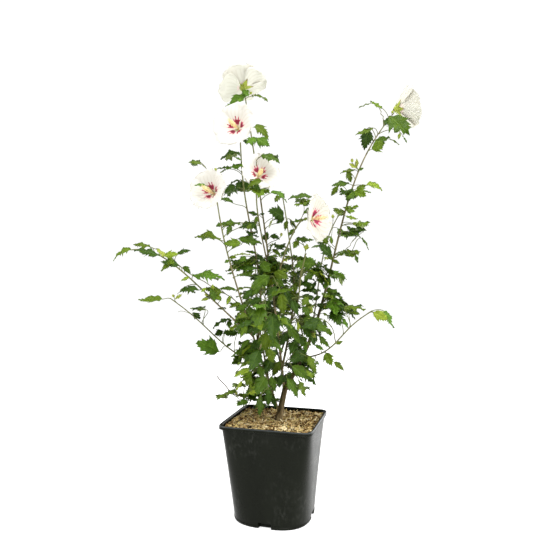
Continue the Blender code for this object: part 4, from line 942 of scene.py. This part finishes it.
def petal(bundle, foot, turn, radius, forward, angle, recurve, blotch, rng):
    """One broad petal: a narrow claw, a fan of fine ribs, a frilled margin, one side over its
    neighbour, with the crimson blotch and its streaks laid out rib by rib."""
    u = np.linspace(-1, 1, ACROSS_PETAL)[None, :]
    v = np.linspace(0, 1, ALONG_PETAL)[:, None]
    size = rng.uniform(0.94, 1.05)
    reach = radius * size
    # how far out and how far forward the petal's middle runs
    out = 0.0022 + (reach - 0.0022) * (v**1.10)
    ahead = 0.006 + (forward - 0.006) * (1 - (1 - v) ** 1.55) - recurve * reach * np.clip(v - 0.62, 0, 1) ** 1.6 * 1.6
    swell = np.where(v < 0.66, np.sin(np.clip(v / 0.66, 0, 1) * math.pi / 2) ** 1.25, np.sqrt(np.clip(1 - ((v - 0.66) / 0.40) ** 2, 0, 1)))
    half = (0.0016 + 0.67 * reach * swell) * rng.uniform(0.95, 1.05)
    # a rounded end: points near the side stop short
    out = out - 0.16 * reach * (np.abs(u) ** 2.2) * v**2
    frill = rng.uniform(0, math.tau, 3)
    edge = np.clip(np.maximum(np.abs(u) ** 3 * (v > 0.25), ((v - 0.72) / 0.28).clip(0, 1) ** 1.2), 0, 1)
    ripple = 0.050 * reach * edge * (
        np.sin(3.6 * u + 3.0 * v + frill[0]) + 0.45 * np.sin(8.0 * u - 4.0 * v + frill[1])
    ) + 0.007 * reach * edge * np.sin(19.0 * u + frill[2])
    ribs = 0.00022 * np.cos(np.pi * 11 * u) * np.sin(math.pi * v.clip(0, 1)) * (0.4 + 0.6 * v)
    cup = 0.05 * reach * (u**2) * (1 - 0.8 * v)
    overlap = 0.045 * reach * u * np.sin(math.pi * v.clip(0, 1)) + 0.0006 * u
    bow = 0.035 * reach * np.sin(2.3 * math.pi * v + frill[0]) * (1 - np.abs(u)) * v
    height = ahead + ripple + ribs + cup + overlap + bow
    notch = -0.030 * reach * np.exp(-((u / 0.30) ** 2)) * (v > 0.9) * rng.uniform(0.0, 1.0)
    radial = out + notch + 0.02 * reach * edge * np.sin(8 * u + frill[1])
    across = half * u
    c, s = math.cos(angle), math.sin(angle)
    local = np.stack([radial * c - across * s, radial * s + across * c, height * np.ones_like(radial)], -1)
    front = foot + local @ turn.T
    du = np.gradient(front, axis=1)
    dv = np.gradient(front, axis=0)
    normal = np.cross(dv, du)
    normal /= np.linalg.norm(normal, axis=-1, keepdims=True) + 1e-12
    axis = turn[:, 2]
    normal *= np.where((normal @ axis) >= 0, 1, -1)[..., None]
    back = front - normal * 0.00034
    n = ACROSS_PETAL * ALONG_PETAL
    quads = rows_of_quads(ALONG_PETAL, ACROSS_PETAL)
    a, b, d = front.reshape(-1, 3)[quads[:, 0]], front.reshape(-1, 3)[quads[:, 1]], front.reshape(-1, 3)[quads[:, 3]]
    if (np.cross(b - a, d - a) @ axis).sum() < 0:
        quads = quads[:, ::-1]
    columns = ACROSS_PETAL
    ring = np.concatenate([
        np.arange(columns - 1), np.arange(ALONG_PETAL - 1) * columns + columns - 1,
        n - 1 - np.arange(columns - 1), np.arange(ALONG_PETAL - 1, 0, -1) * columns,
    ])
    rim = np.stack([ring, np.roll(ring, -1), np.roll(ring, -1) + n, ring + n], 1)
    # the blotch
    cu = (u[0, :-1] + u[0, 1:]) / 2
    cv = (v[:-1, 0] + v[1:, 0]) / 2
    rib = np.arange(ACROSS_PETAL - 1)
    far = cv[:, None] - 0.235 - 0.012 * np.sin(rib * 2.1 + frill[0])[None, :]
    near = np.abs(cu)[None, :] + 0 * far
    streak = np.where(rib % 3 == 1, rng.uniform(0.05, 0.12, len(rib)), 0.0)[None, :] * (near < 0.42)
    tall = np.where(far > 0, 0.085 * blotch + streak, 0.085 * blotch)
    grid = np.zeros(far.shape, int)
    grid[(near / (0.42 * blotch)) ** 2 + (far / (tall + 0.022)) ** 2 < 1] = 2
    grid[(near / (0.37 * blotch)) ** 2 + (far / tall) ** 2 < 1] = 3
    grid[(near / (0.25 * blotch)) ** 2 + (far / (0.060 * blotch)) ** 2 < 1] = 4
    # the throat paint at the petal's foot: cream, lightened as painted light in the cup's shade
    grid[(cv[:, None] < 0.13) & (grid < 3)] = 10
    ribbed = (rib % 3 == 1)[None, :] & (cv < 0.80 + 0.12 * np.sin(frill[1]))[:, None]
    grid[ribbed & (grid == 0)] = 11
    face_paint = grid.reshape(-1)
    behind = np.where((cv[:, None] < 0.24) & (np.abs(cu)[None, :] < 0.45), 9, np.where(ribbed, 12, 1))
    bundle.add(
        np.concatenate([front.reshape(-1, 3), back.reshape(-1, 3)]),
        np.concatenate([quads, quads[:, ::-1] + n, rim]),
        np.concatenate([face_paint, behind.reshape(-1), np.full(len(rim), 1)]),
    )


def ball(bundle, centre, radii, turn, paint, sides=7, rows=6):
    """A small closed egg; radii are its half sizes along the columns of turn."""
    lat = np.linspace(-math.pi / 2, math.pi / 2, rows)[:, None]
    lon = np.arange(sides)[None, :] / sides * math.tau
    keep = np.clip(np.cos(lat), 0.06, 1)
    points = np.stack([keep * np.cos(lon) * radii[0], keep * np.sin(lon) * radii[1], np.sin(lat) * radii[2] * np.ones_like(lon)], -1)
    points = np.asarray(centre) + points.reshape(-1, 3) @ np.asarray(turn).T
    bundle.add(points, rows_of_quads(rows, sides, closed=True), paint)
    for k, order in ((0, -1), (rows - 1, 1)):
        first = bundle.count - rows * sides + k * sides
        bundle.faces.append(np.array([[first + j for j in range(sides)][::order]]))
        bundle.paint.append(np.array([paint if np.isscalar(paint) else paint[0]]))


def basis(direction, hint=(0, 0, 1.0)):
    w = unit(direction)
    a = np.cross(hint, w)
    if np.linalg.norm(a) < 0.1:
        a = np.cross((1.0, 0, 0), w)
    a = unit(a)
    return np.stack([a, np.cross(w, a), w], 1)


def sepal_ring(bundle, foot, turn, count, inner, length, half, spread, start, paint, tip_paint, rng):
    """Pointed sepals or bracts round the calyx."""
    rows, columns = 9, 5
    v = np.linspace(0, 1, rows)[:, None]
    u = np.linspace(-1, 1, columns)[None, :]
    for k in range(count):
        angle = start + math.tau * k / count + rng.normal(0, 0.05)
        lean = spread * rng.uniform(0.85, 1.15)
        wide = half * np.clip(np.where(v < 0.25, 0.75 + v, 1 - ((v - 0.25) / 0.75) ** 1.35), 0.03, 1.0)
        radial = inner + length * (math.sin(lean) * v + 0.10 * v**2 * rng.uniform(-1, 1)) - 0.35 * wide * u**2
        height = length * math.cos(lean) * v
        across = wide * u
        c, s = math.cos(angle), math.sin(angle)
        radial = radial * np.ones_like(across)
        local = np.stack([radial * c - across * s, radial * s + across * c, height * np.ones_like(across)], -1)
        outer = foot + local @ turn.T
        du, dv = np.gradient(outer, axis=1), np.gradient(outer, axis=0)
        normal = np.cross(du, dv)
        normal /= np.linalg.norm(normal, axis=-1, keepdims=True) + 1e-12
        inner_side = outer + normal * 0.0004
        n = rows * columns
        quads = rows_of_quads(rows, columns)
        ring = np.concatenate([
            np.arange(columns - 1), np.arange(rows - 1) * columns + columns - 1,
            n - 1 - np.arange(columns - 1), np.arange(rows - 1, 0, -1) * columns,
        ])
        rim = np.stack([ring, np.roll(ring, -1), np.roll(ring, -1) + n, ring + n], 1)
        tip = np.repeat(np.arange(rows - 1) >= rows - 3, columns - 1)
        faces_paint = np.where(tip, tip_paint, paint)
        bundle.add(
            np.concatenate([outer.reshape(-1, 3), inner_side.reshape(-1, 3)]),
            np.concatenate([quads, quads[:, ::-1] + n, rim]),
            np.concatenate([faces_paint, faces_paint, np.full(len(rim), paint)]),
        )


def bloom(name):
    foot, facing, radius, forward, roll, lean, recurve = BLOOMS[name]
    rng = joined_seed(*foot)
    bundle = Bundle()
    foot = np.array(foot) / 1000
    turn = basis(facing)
    stance = STANCE.get(name, (1.0,) * 5)
    for k in range(5):
        petal(bundle, foot, turn, radius / 1000, forward * stance[k] / 1000, math.radians(roll + 72 * k) + rng.normal(0, 0.05), recurve, BLOTCH.get(name, 1.10), rng)
    # calyx cup, sepals and the narrow bracts below them
    big = CALYX_SIZE.get(name, 1.0)
    heights = np.array([-0.0005, 0.001, 0.003, 0.006, 0.009, 0.0115])
    widths = np.array([0.0022, 0.0042, 0.0058, 0.0066, 0.0064, 0.0060]) * (0.55 + 0.45 * big)
    cup = foot + np.outer(heights, turn[:, 2])
    ring, quads = tube(cup, widths, 15)
    bundle.add(ring, quads, 7)
    sepal_ring(bundle, foot + turn[:, 2] * 0.0075, turn, 5, 0.0062, 0.0150 * big, 0.0046 * big, SEPAL_SPREAD.get(name, 1.02), math.radians(roll + 36), 7, 8, rng)
    sepal_ring(bundle, foot + turn[:, 2] * 0.0012, turn, 8, 0.0040, 0.0125 * big, 0.0012 * big, 0.80, 0.2, 7, 7, rng)
    # the column, its stamens and its five-armed stigma
    way = unit(turn[:, 2] + np.array(lean) * 0.75)
    start = foot + turn[:, 2] * 0.006
    end = foot + turn[:, 2] * 0.012 + way * 0.031
    line = bezier(start, start + turn[:, 2] * 0.012, end - way * 0.010, end, 14)
    ring, quads = tube(line, np.linspace(0.0021, 0.0011, 14), 9)
    bundle.add(ring, quads, 5)
    tangents, a, b = frames_along(line)
    for k in range(74):
        share = 0.30 + 0.64 * (k / 74)
        place = share * 13
        low = int(place)
        here = line[low] + (line[min(13, low + 1)] - line[low]) * (place - low)
        angle = 2.4 * k
        out = a[low] * math.cos(angle) + b[low] * math.sin(angle)
        arm = 0.0026 + 0.0022 * math.sin(math.pi * (k / 74)) * rng.uniform(0.7, 1.2)
        knob = here + out * arm + tangents[low] * rng.uniform(0.0002, 0.0016)
        ring, quads = tube(np.array([here, (here + knob) / 2 + tangents[low] * 0.0003, knob]), np.full(3, 0.00022), 4)
        bundle.add(ring, quads, 5)
        ball(bundle, knob, (0.00062, 0.00092, 0.00078), basis(out), 6, 6, 5)
    for k in range(5):
        angle = math.tau * k / 5
        out = a[-1] * math.cos(angle) + b[-1] * math.sin(angle)
        tip = end + way * 0.0035 + out * 0.0028
        ring, quads = tube(np.array([end - way * 0.001, end + way * 0.002 + out * 0.0008, tip]), np.full(3, 0.00035), 5)
        bundle.add(ring, quads, 5)
        ball(bundle, tip, (0.0008, 0.0008, 0.0007), basis(way), 5, 7, 5)
    paints = list(BLOOM_PAINTS)
    if name == "fifth_bloom":  # the bloom turned towards the key lamp gets darker, slightly warmer copies of the petal white and rib: painted shade against the lamp's glare
        paints[0], paints[11] = PETAL_PAINTED_SHADE, RIB_PAINTED_SHADE
    return bundle.piece(f"{name}_flower", paints, [name], "hibiscus_bloom")


for name in BLOOMS:
    bloom(name)

# flower buds, seen from the front at these spots: spot, depth, length in mm, the way they point
BUDS = [
    (333, 218, 56, 9.0, (-0.1, 0, 1)), (237, 394, 20, 8.0, (-0.3, -0.3, 0.9)), (207, 296, -60, 7.0, (-0.6, 0, 0.8)),
    (174, 297, 64, 7.5, (-0.5, 0, 0.85)), (324, 308, 24, 7.0, (0.3, 0, 0.95)), (309, 321, -55, 7.0, (0, -0.4, 0.9)),
    (281, 236, 34, 8.0, (0.2, 0, 1)), (352, 162, 50, 8.5, (0.05, 0, 1)), (244, 89, 34, 9.0, (0.2, -0.5, 0.8)),
    (392, 113, 44, 7.5, (0.4, 0, 0.9)), (250, 94, 34, 7.0, (0.6, 0, 0.7)), (216, 171, -74, 7.0, (-0.3, 0, 0.9)),
]
bud_bundle = Bundle()
for u, v, depth, long_mm, way in BUDS:
    rng = joined_seed(u, v)
    foot = np.array(at(u, v, depth))
    turn = basis(way)
    size = long_mm / 1000
    ball(bud_bundle, foot + turn[:, 2] * size * 0.45, (size * 0.33, size * 0.33, size * 0.50), turn, 0, 10, 9)
    sepal_ring(bud_bundle, foot, turn, 5, size * 0.16, size * 0.95, size * 0.26, 0.12, rng.uniform(0, 1), 0, 1, rng)
    sepal_ring(bud_bundle, foot - turn[:, 2] * size * 0.06, turn, 7, size * 0.12, size * 0.8, size * 0.055, 0.62, 0.1, 0, 0, rng)
    STALKS.append((foot, turn[:, 2], 0.05, 2))
done = len(STALKS) - len(BUDS)
later, STALKS = STALKS[done:], STALKS[done:]
join_to_wood()

# ---------------------------------------------------------------- the plant's pieces
BARKS = [OLD_BARK, YOUNG_BARK, SHOOT, TAN_BARK_AND_PAINTED_LIGHT, PALE_BARK_AND_PAINTED_LIGHT]
trunk_bundle.piece("trunk_bark", BARKS, ["trunk"], "hibiscus_bark")
bough_bundle.piece("bough_bark", BARKS, [n for n in LIMBS if n != "trunk"], "hibiscus_bark")
twig_bundle.piece("twigs_and_leaf_stalks", [SHOOT, PETIOLE, OLD_BARK], [], "hibiscus_bark")
bud_bundle.piece("flower_buds", [SEPAL, SEPAL_TIP], [], "hibiscus_bloom")

MASSES = {
    "left": "far_left left_outer left_mid left_inner lower_left_tip lower_left_mid".split(),
    "upper": "upper_left_band left_neck top_shoot upper_shoot left_high under_third_flower centre_high centre_upper".split(),
    "right": "right_tip right_high right_upper right_middle right_inner_high right_centre right_low right_far_tip right_low_outer".split(),
    "centre": "centre_a front_leafy centre_left centre_b front_far".split(),
    "low": "centre_right_low low_left foot_left foot_right".split(),
    "back": "back_left back_right back_far".split(),
}
for region, bundle in leaf_bundles.items():
    bundle.piece(f"{region}_foliage", BLADES + UNDERS + VEINS, [f"{m}_leaves" for m in MASSES[region]], "hibiscus_leaf")
    print(region, "leaf triangles", bundle.triangles())


# ---------------------------------------------------------------- pot
def body_level(z, inset=0.0):
    share = min(1.0, max(0.0, z / NECK_Z))
    width = BASE_WIDTH + (NECK_WIDTH - BASE_WIDTH) * share
    squareness = 1 / (1 / BASE_SQUARENESS + (1 / NECK_SQUARENESS - 1 / BASE_SQUARENESS) * share)
    return width - 2 * inset, squareness


def pot_angles():
    """Angles round the pot, closer at the corners and at both sides of each notch."""
    quarter = np.concatenate([
        np.radians(np.linspace(0, 8.2, 5)), np.radians([8.85, 9.5]), np.radians(np.linspace(13, 32, 6)),
        np.radians(np.linspace(34.5, 55.5, 15)), np.radians(np.linspace(58, 77, 6)), np.radians([80.5, 81.15, 81.8]),
        np.radians(np.linspace(84, 88, 3)),
    ])
    return np.concatenate([quarter + k * math.pi / 2 for k in range(4)])


ANGLES = pot_angles()


def ring_at(width, squareness, z):
    c, s = np.abs(np.cos(ANGLES)), np.abs(np.sin(ANGLES))
    reach = width / 2 * (c**squareness + s**squareness) ** (-1 / squareness)
    return np.stack([reach * np.cos(ANGLES), reach * np.sin(ANGLES), np.full_like(reach, z)], 1)


def pot_rings():
    """Outside from the foot to the rim, round the lip, and down the inside."""
    levels = []
    edge = 0.0024
    levels.append((BASE_WIDTH - 2 * edge - 0.012, BASE_SQUARENESS, 0.0012))
    levels.append((BASE_WIDTH - 2 * edge, BASE_SQUARENESS, 0.0))
    for k in range(1, 5):
        a = k / 4 * math.pi / 2
        width, squareness = body_level(edge)
        levels.append((width - 2 * edge * (1 - math.sin(a)), squareness, edge * (1 - math.cos(a))))
    levels.append((*body_level(FOOT_STEP_HEIGHT - 0.0004), FOOT_STEP_HEIGHT - 0.0004))
    width, squareness = body_level(FOOT_STEP_HEIGHT)
    levels.append((width - 2 * FOOT_STEP, squareness, FOOT_STEP_HEIGHT + 0.0004))
    for z in (NOTCH_HEIGHT - 0.0006, NOTCH_HEIGHT, NOTCH_HEIGHT + 0.0012, NOTCH_HEIGHT + 0.0030):
        width, squareness = body_level(z)
        levels.append((width - 2 * FOOT_STEP * (1 - z / NECK_Z), squareness, z))
    for z in np.linspace(0.022, NECK_Z - 0.0016, 22):
        width, squareness = body_level(z)
        levels.append((width - 2 * FOOT_STEP * (1 - z / NECK_Z), squareness, z))
    levels.append((*body_level(NECK_Z), NECK_Z - 0.0001))
    # the lip: a rolled edge that stands out, with a groove above its lower bead
    lip = [(-0.0016, 0.0002), (-0.0003, 0.0008), (0.0, 0.0017), (-0.0001, 0.0028), (-0.0007, 0.0034), (-0.0006, 0.0044),
           (-0.0001, 0.0052), (0.0, 0.0064), (-0.0003, 0.0074), (-0.0011, 0.0082), (-0.0022, 0.0085), (-0.0036, 0.0084), (-0.0046, 0.0077)]
    for inward, up in lip:
        levels.append((RIM_WIDTH + 2 * inward, RIM_SQUARENESS, NECK_Z + up))
    for z in (POT_HEIGHT - 0.0035, POT_HEIGHT - 0.0075, MULCH_LEVEL - 0.004):
        width, squareness = body_level(z, WALL)
        levels.append((width, squareness, z))
    return levels


def notch_depth(point):
    """How far the foot is pushed in here by the nearest of the four drainage notches."""
    x, y, z = point
    along = min(abs(x), abs(y))
    inside = min(1.0, max(0.0, (NOTCH_WIDTH / 2 + 0.0004 - along) / 0.0008))
    below = min(1.0, max(0.0, (NOTCH_HEIGHT - 0.0002 - z) / 0.0004))
    return inside * below


pot_bundle = Bundle()
pot_points = []
levels = pot_rings()
for width, squareness, z in levels:
    ring = ring_at(width, squareness, z)
    for k, p in enumerate(ring):
        if z < 0.03 and width > BASE_WIDTH - 0.010:
            side = np.array([math.copysign(1, p[0]), 0, 0]) if abs(p[0]) > abs(p[1]) else np.array([0, math.copysign(1, p[1]), 0])
            ring[k] = p - side * NOTCH_DEPTH * notch_depth(p)
        # thin moulded walls are never quite flat
        sag = noise.noise(Vector((p[0] * 9, p[1] * 9, p[2] * 7)))
        out = np.array([p[0], p[1], 0]) / max(1e-6, math.hypot(p[0], p[1]))
        if 0.02 < z < NECK_Z:
            ring[k] = ring[k] + out * 0.0007 * sag
    pot_points.append(ring)
pot_points = np.array(pot_points)
# the rows round the top of the lip take the lighter lip paint, a painted highlight along the rim
lip_highlight_rows = len(levels) - 3 - 13 + np.array([7, 8, 9])
row = np.repeat(np.arange(len(levels) - 1), len(ANGLES))
pot_bundle.add(
    pot_points.reshape(-1, 3), rows_of_quads(len(levels), len(ANGLES), closed=True), np.where(np.isin(row, lip_highlight_rows), 1, 0)
)
underside = pot_points[0]
pot_bundle.add(np.vstack([underside, [[0, 0, 0.0012]]]), [[(k + 1) % len(ANGLES), k, len(ANGLES)] for k in range(len(ANGLES))], 0)
pot_piece = pot_bundle.piece("moulded_pot", [POT, LIP_PAINTED_HIGHLIGHT], ["pot"], "pot_plastic", turned=False)
pot_piece.data.set_sharp_from_angle(angle=math.radians(38))

# ---------------------------------------------------------------- compost and bark chips
medium_bundle = Bundle()
rings = []
inner_width, inner_squareness = body_level(MULCH_LEVEL, WALL + 0.0002)
for share in np.linspace(0.02, 1.0, 34):
    ring = ring_at(inner_width * share, 2 + (inner_squareness - 2) * share, MULCH_LEVEL)
    for k, p in enumerate(ring):
        rough = noise.noise(Vector((p[0] * 75, p[1] * 75, 4.2))) + 0.5 * noise.noise(Vector((p[0] * 190, p[1] * 190, 9.2)))
        ring[k][2] += 0.0016 * rough * (share < 0.97) - 0.0012
    rings.append(ring)
medium_bundle.add(np.array(rings).reshape(-1, 3), rows_of_quads(len(rings), len(ANGLES), closed=True), 0)
low = ring_at(body_level(0.020, WALL + 0.0006)[0], body_level(0.020)[1], 0.020)
skirt = np.vstack([rings[-1], low])
medium_bundle.add(skirt, rows_of_quads(2, len(ANGLES), closed=True), 0)
middle_top = np.vstack([rings[0], [[0, 0, MULCH_LEVEL - 0.001]]])
medium_bundle.add(middle_top, [[k, (k + 1) % len(ANGLES), len(ANGLES)] for k in range(len(ANGLES))], 0)


def chip(bundle, centre, length, width, thick, turn, paint, rng):
    """A split flake of bark: an uneven outline, a bellied face and broken ends."""
    count = 8
    angle = np.linspace(0, math.tau, count, endpoint=False) + rng.normal(0, 0.14, count)
    outline = np.stack([np.cos(angle) * length / 2 * rng.uniform(0.72, 1.08, count), np.sin(angle) * width / 2 * rng.uniform(0.70, 1.1, count)], 1)
    top = np.column_stack([outline * 0.80, thick * 0.5 * rng.uniform(0.6, 1.15, count)])
    middle = np.column_stack([outline, rng.uniform(-0.2, 0.2, count) * thick])
    bottom = np.column_stack([outline * 0.84, -thick * 0.5 * rng.uniform(0.6, 1.1, count)])
    crown = np.array([[rng.normal(0, 0.1) * length, 0, thick * rng.uniform(0.45, 0.75)]])
    belly = np.array([[0, 0, -thick * 0.5]])
    points = np.vstack([top, middle, bottom, crown, belly])
    points[:, 2] += 0.25 * thick * np.sin(points[:, 0] / length * rng.uniform(2, 5))
    points = np.asarray(centre) + points @ turn.T
    walls = np.concatenate([rows_of_quads(3, count, closed=True)[:, ::-1]])
    bundle.add(points, walls, paint)
    caps = [[k, (k + 1) % count, 3 * count] for k in range(count)] + [[2 * count + (k + 1) % count, 2 * count + k, 3 * count + 1] for k in range(count)]
    bundle.faces.append(np.array(caps) + bundle.count - len(points))
    bundle.paint.append(np.full(len(caps), paint))


chip_bundle = Bundle()
chip_rng = np.random.default_rng(88)
CHIP_COUNT = 3600
limit = inner_width / 2 - 0.003
placed = 0
while placed < CHIP_COUNT:
    x, y = chip_rng.uniform(-limit, limit, 2)
    squareness = 8.5
    if (abs(x) ** squareness + abs(y) ** squareness) ** (1 / squareness) > limit:
        continue
    if math.hypot(x - 0.0077, y) < 0.0085:
        continue
    length = chip_rng.gamma(3.2, 0.0021) + 0.0020
    length = min(0.020, length) if placed % 9 else chip_rng.uniform(0.014, 0.024)
    width = length * (chip_rng.uniform(0.14, 0.46) if placed % 9 else chip_rng.uniform(0.10, 0.20))
    thick = chip_rng.uniform(0.0008, 0.0022)
    layer = placed / CHIP_COUNT
    z = MULCH_LEVEL - 0.0006 + 0.0042 * layer + 0.0012 * noise.noise(Vector((x * 40, y * 40, 1.0)))
    edge = max(abs(x), abs(y))
    margin = limit - edge
    if margin < length * 0.45:
        length = max(0.003, margin * 2.0 + 0.0025)
        width = min(width, length * 0.7)
    yaw, tilt, spin = chip_rng.uniform(0, math.tau), chip_rng.normal(0, 0.36), chip_rng.normal(0, 0.45)
    cy, sy, ct, st, cp, sp = math.cos(yaw), math.sin(yaw), math.cos(tilt), math.sin(tilt), math.cos(spin), math.sin(spin)
    turn = (
        np.array([[cy, -sy, 0], [sy, cy, 0], [0, 0, 1]])
        @ np.array([[ct, 0, st], [0, 1, 0], [-st, 0, ct]])
        @ np.array([[1, 0, 0], [0, cp, -sp], [0, sp, cp]])
    )
    shares = np.array([0.22, 0.19, 0.14, 0.14, 0.13, 0.09, 0.09])
    patch = noise.noise(Vector((x * 55, y * 55, 7.7))) + 0.6 * noise.noise(Vector((x * 140, y * 140, 2.1)))
    shares = shares * np.where([0, 1, 0, 0, 1, 0, 1], math.exp(1.9 * patch), math.exp(-1.2 * patch))
    paint = int(chip_rng.choice(7, p=shares / shares.sum()))
    chip(chip_bundle, (x, y, z), length, width, thick, turn, paint, chip_rng)
    placed += 1
medium_bundle.piece("compost", [SOIL], ["growing_medium"], "bark_mulch", turned=False)
chip_bundle.piece("bark_chips", CHIPS, [], "bark_mulch", turned=False, smooth=False)


# ---------------------------------------------------------------- floor, light and camera
WORLD_LOW, WORLD_HIGH = 0.12, 0.50  # the room's light from below and from above
FLOOR_GLOW = 0.80  # a lit white sweep, so that the floor runs into the white behind it
LAMPS = [
    ("key_right", (2.4, -0.7, 1.5), (1.1, 1.8), 50.0),
    ("key_left", (-2.2, -1.5, 1.7), (0.9, 1.6), 27.0),
    ("top_soft", (0.3, -0.7, 2.6), (1.3, 1.3), 40.0),
    ("back_right", (1.3, 2.3, 0.9), (1.8, 1.4), 34.0),
    ("back_left", (-2.2, 1.6, 0.9), (1.2, 1.7), 22.0),
]


def studio():
    build = bpy.data.meshes.new("studio_floor")
    build.from_pydata([(-30, -30, 0), (30, -30, 0), (30, 30, 0), (-30, 30, 0)], [], [(0, 1, 2, 3)])
    floor = bpy.data.objects.new("studio_floor", build)
    paint = material("studio_white", (0.62, 0.62, 0.62), 0.9, Emission_Color=(1.0, 1.0, 1.0, 1.0), Emission_Strength=FLOOR_GLOW)
    tree = paint.node_tree
    grain = noise_node(tree, 3.0)
    tree.links.new(span(tree, grain, 0.85, 0.95), tree.nodes["Principled BSDF"].inputs["Roughness"])
    build.materials.append(paint)
    bpy.context.scene.collection.objects.link(floor)

    world = bpy.data.worlds.new("studio")
    world.use_nodes = True
    tree = world.node_tree
    lit = tree.nodes["Background"]
    lit.inputs["Color"].default_value = (1.0, 1.0, 1.0, 1.0)
    way = tree.nodes.new("ShaderNodeSeparateXYZ")
    tree.links.new(tree.nodes.new("ShaderNodeTexCoord").outputs["Generated"], way.inputs[0])
    rise = tree.nodes.new("ShaderNodeMapRange")
    rise.inputs["From Min"].default_value, rise.inputs["From Max"].default_value = -0.1, 0.9
    rise.inputs["To Min"].default_value, rise.inputs["To Max"].default_value = WORLD_LOW, WORLD_HIGH
    tree.links.new(way.outputs[2], rise.inputs["Value"])
    tree.links.new(rise.outputs["Result"], lit.inputs["Strength"])
    seen = tree.nodes.new("ShaderNodeBackground")
    seen.inputs["Color"].default_value = (1.0, 1.0, 1.0, 1.0)
    seen.inputs["Strength"].default_value = 1.05
    path = tree.nodes.new("ShaderNodeLightPath")
    mix = tree.nodes.new("ShaderNodeMixShader")
    tree.links.new(path.outputs["Is Camera Ray"], mix.inputs["Fac"])
    tree.links.new(lit.outputs[0], mix.inputs[1])
    tree.links.new(seen.outputs[0], mix.inputs[2])
    tree.links.new(mix.outputs[0], tree.nodes["World Output"].inputs["Surface"])
    bpy.context.scene.world = world

    for name, place, size, power in LAMPS:
        data = bpy.data.lights.new(name, "AREA")
        data.shape = "RECTANGLE"
        data.size, data.size_y = size
        data.energy = power
        lamp = bpy.data.objects.new(name, data)
        lamp.location = place
        aim = Vector((0, 0, 0.5)) - Vector(place)
        lamp.rotation_euler = aim.to_track_quat("-Z", "Y").to_euler()
        lamp.visible_camera = False
        bpy.context.scene.collection.objects.link(lamp)


studio()
camera()
scene = bpy.context.scene
scene.view_settings.view_transform = "Standard"
scene.view_settings.look = "None"
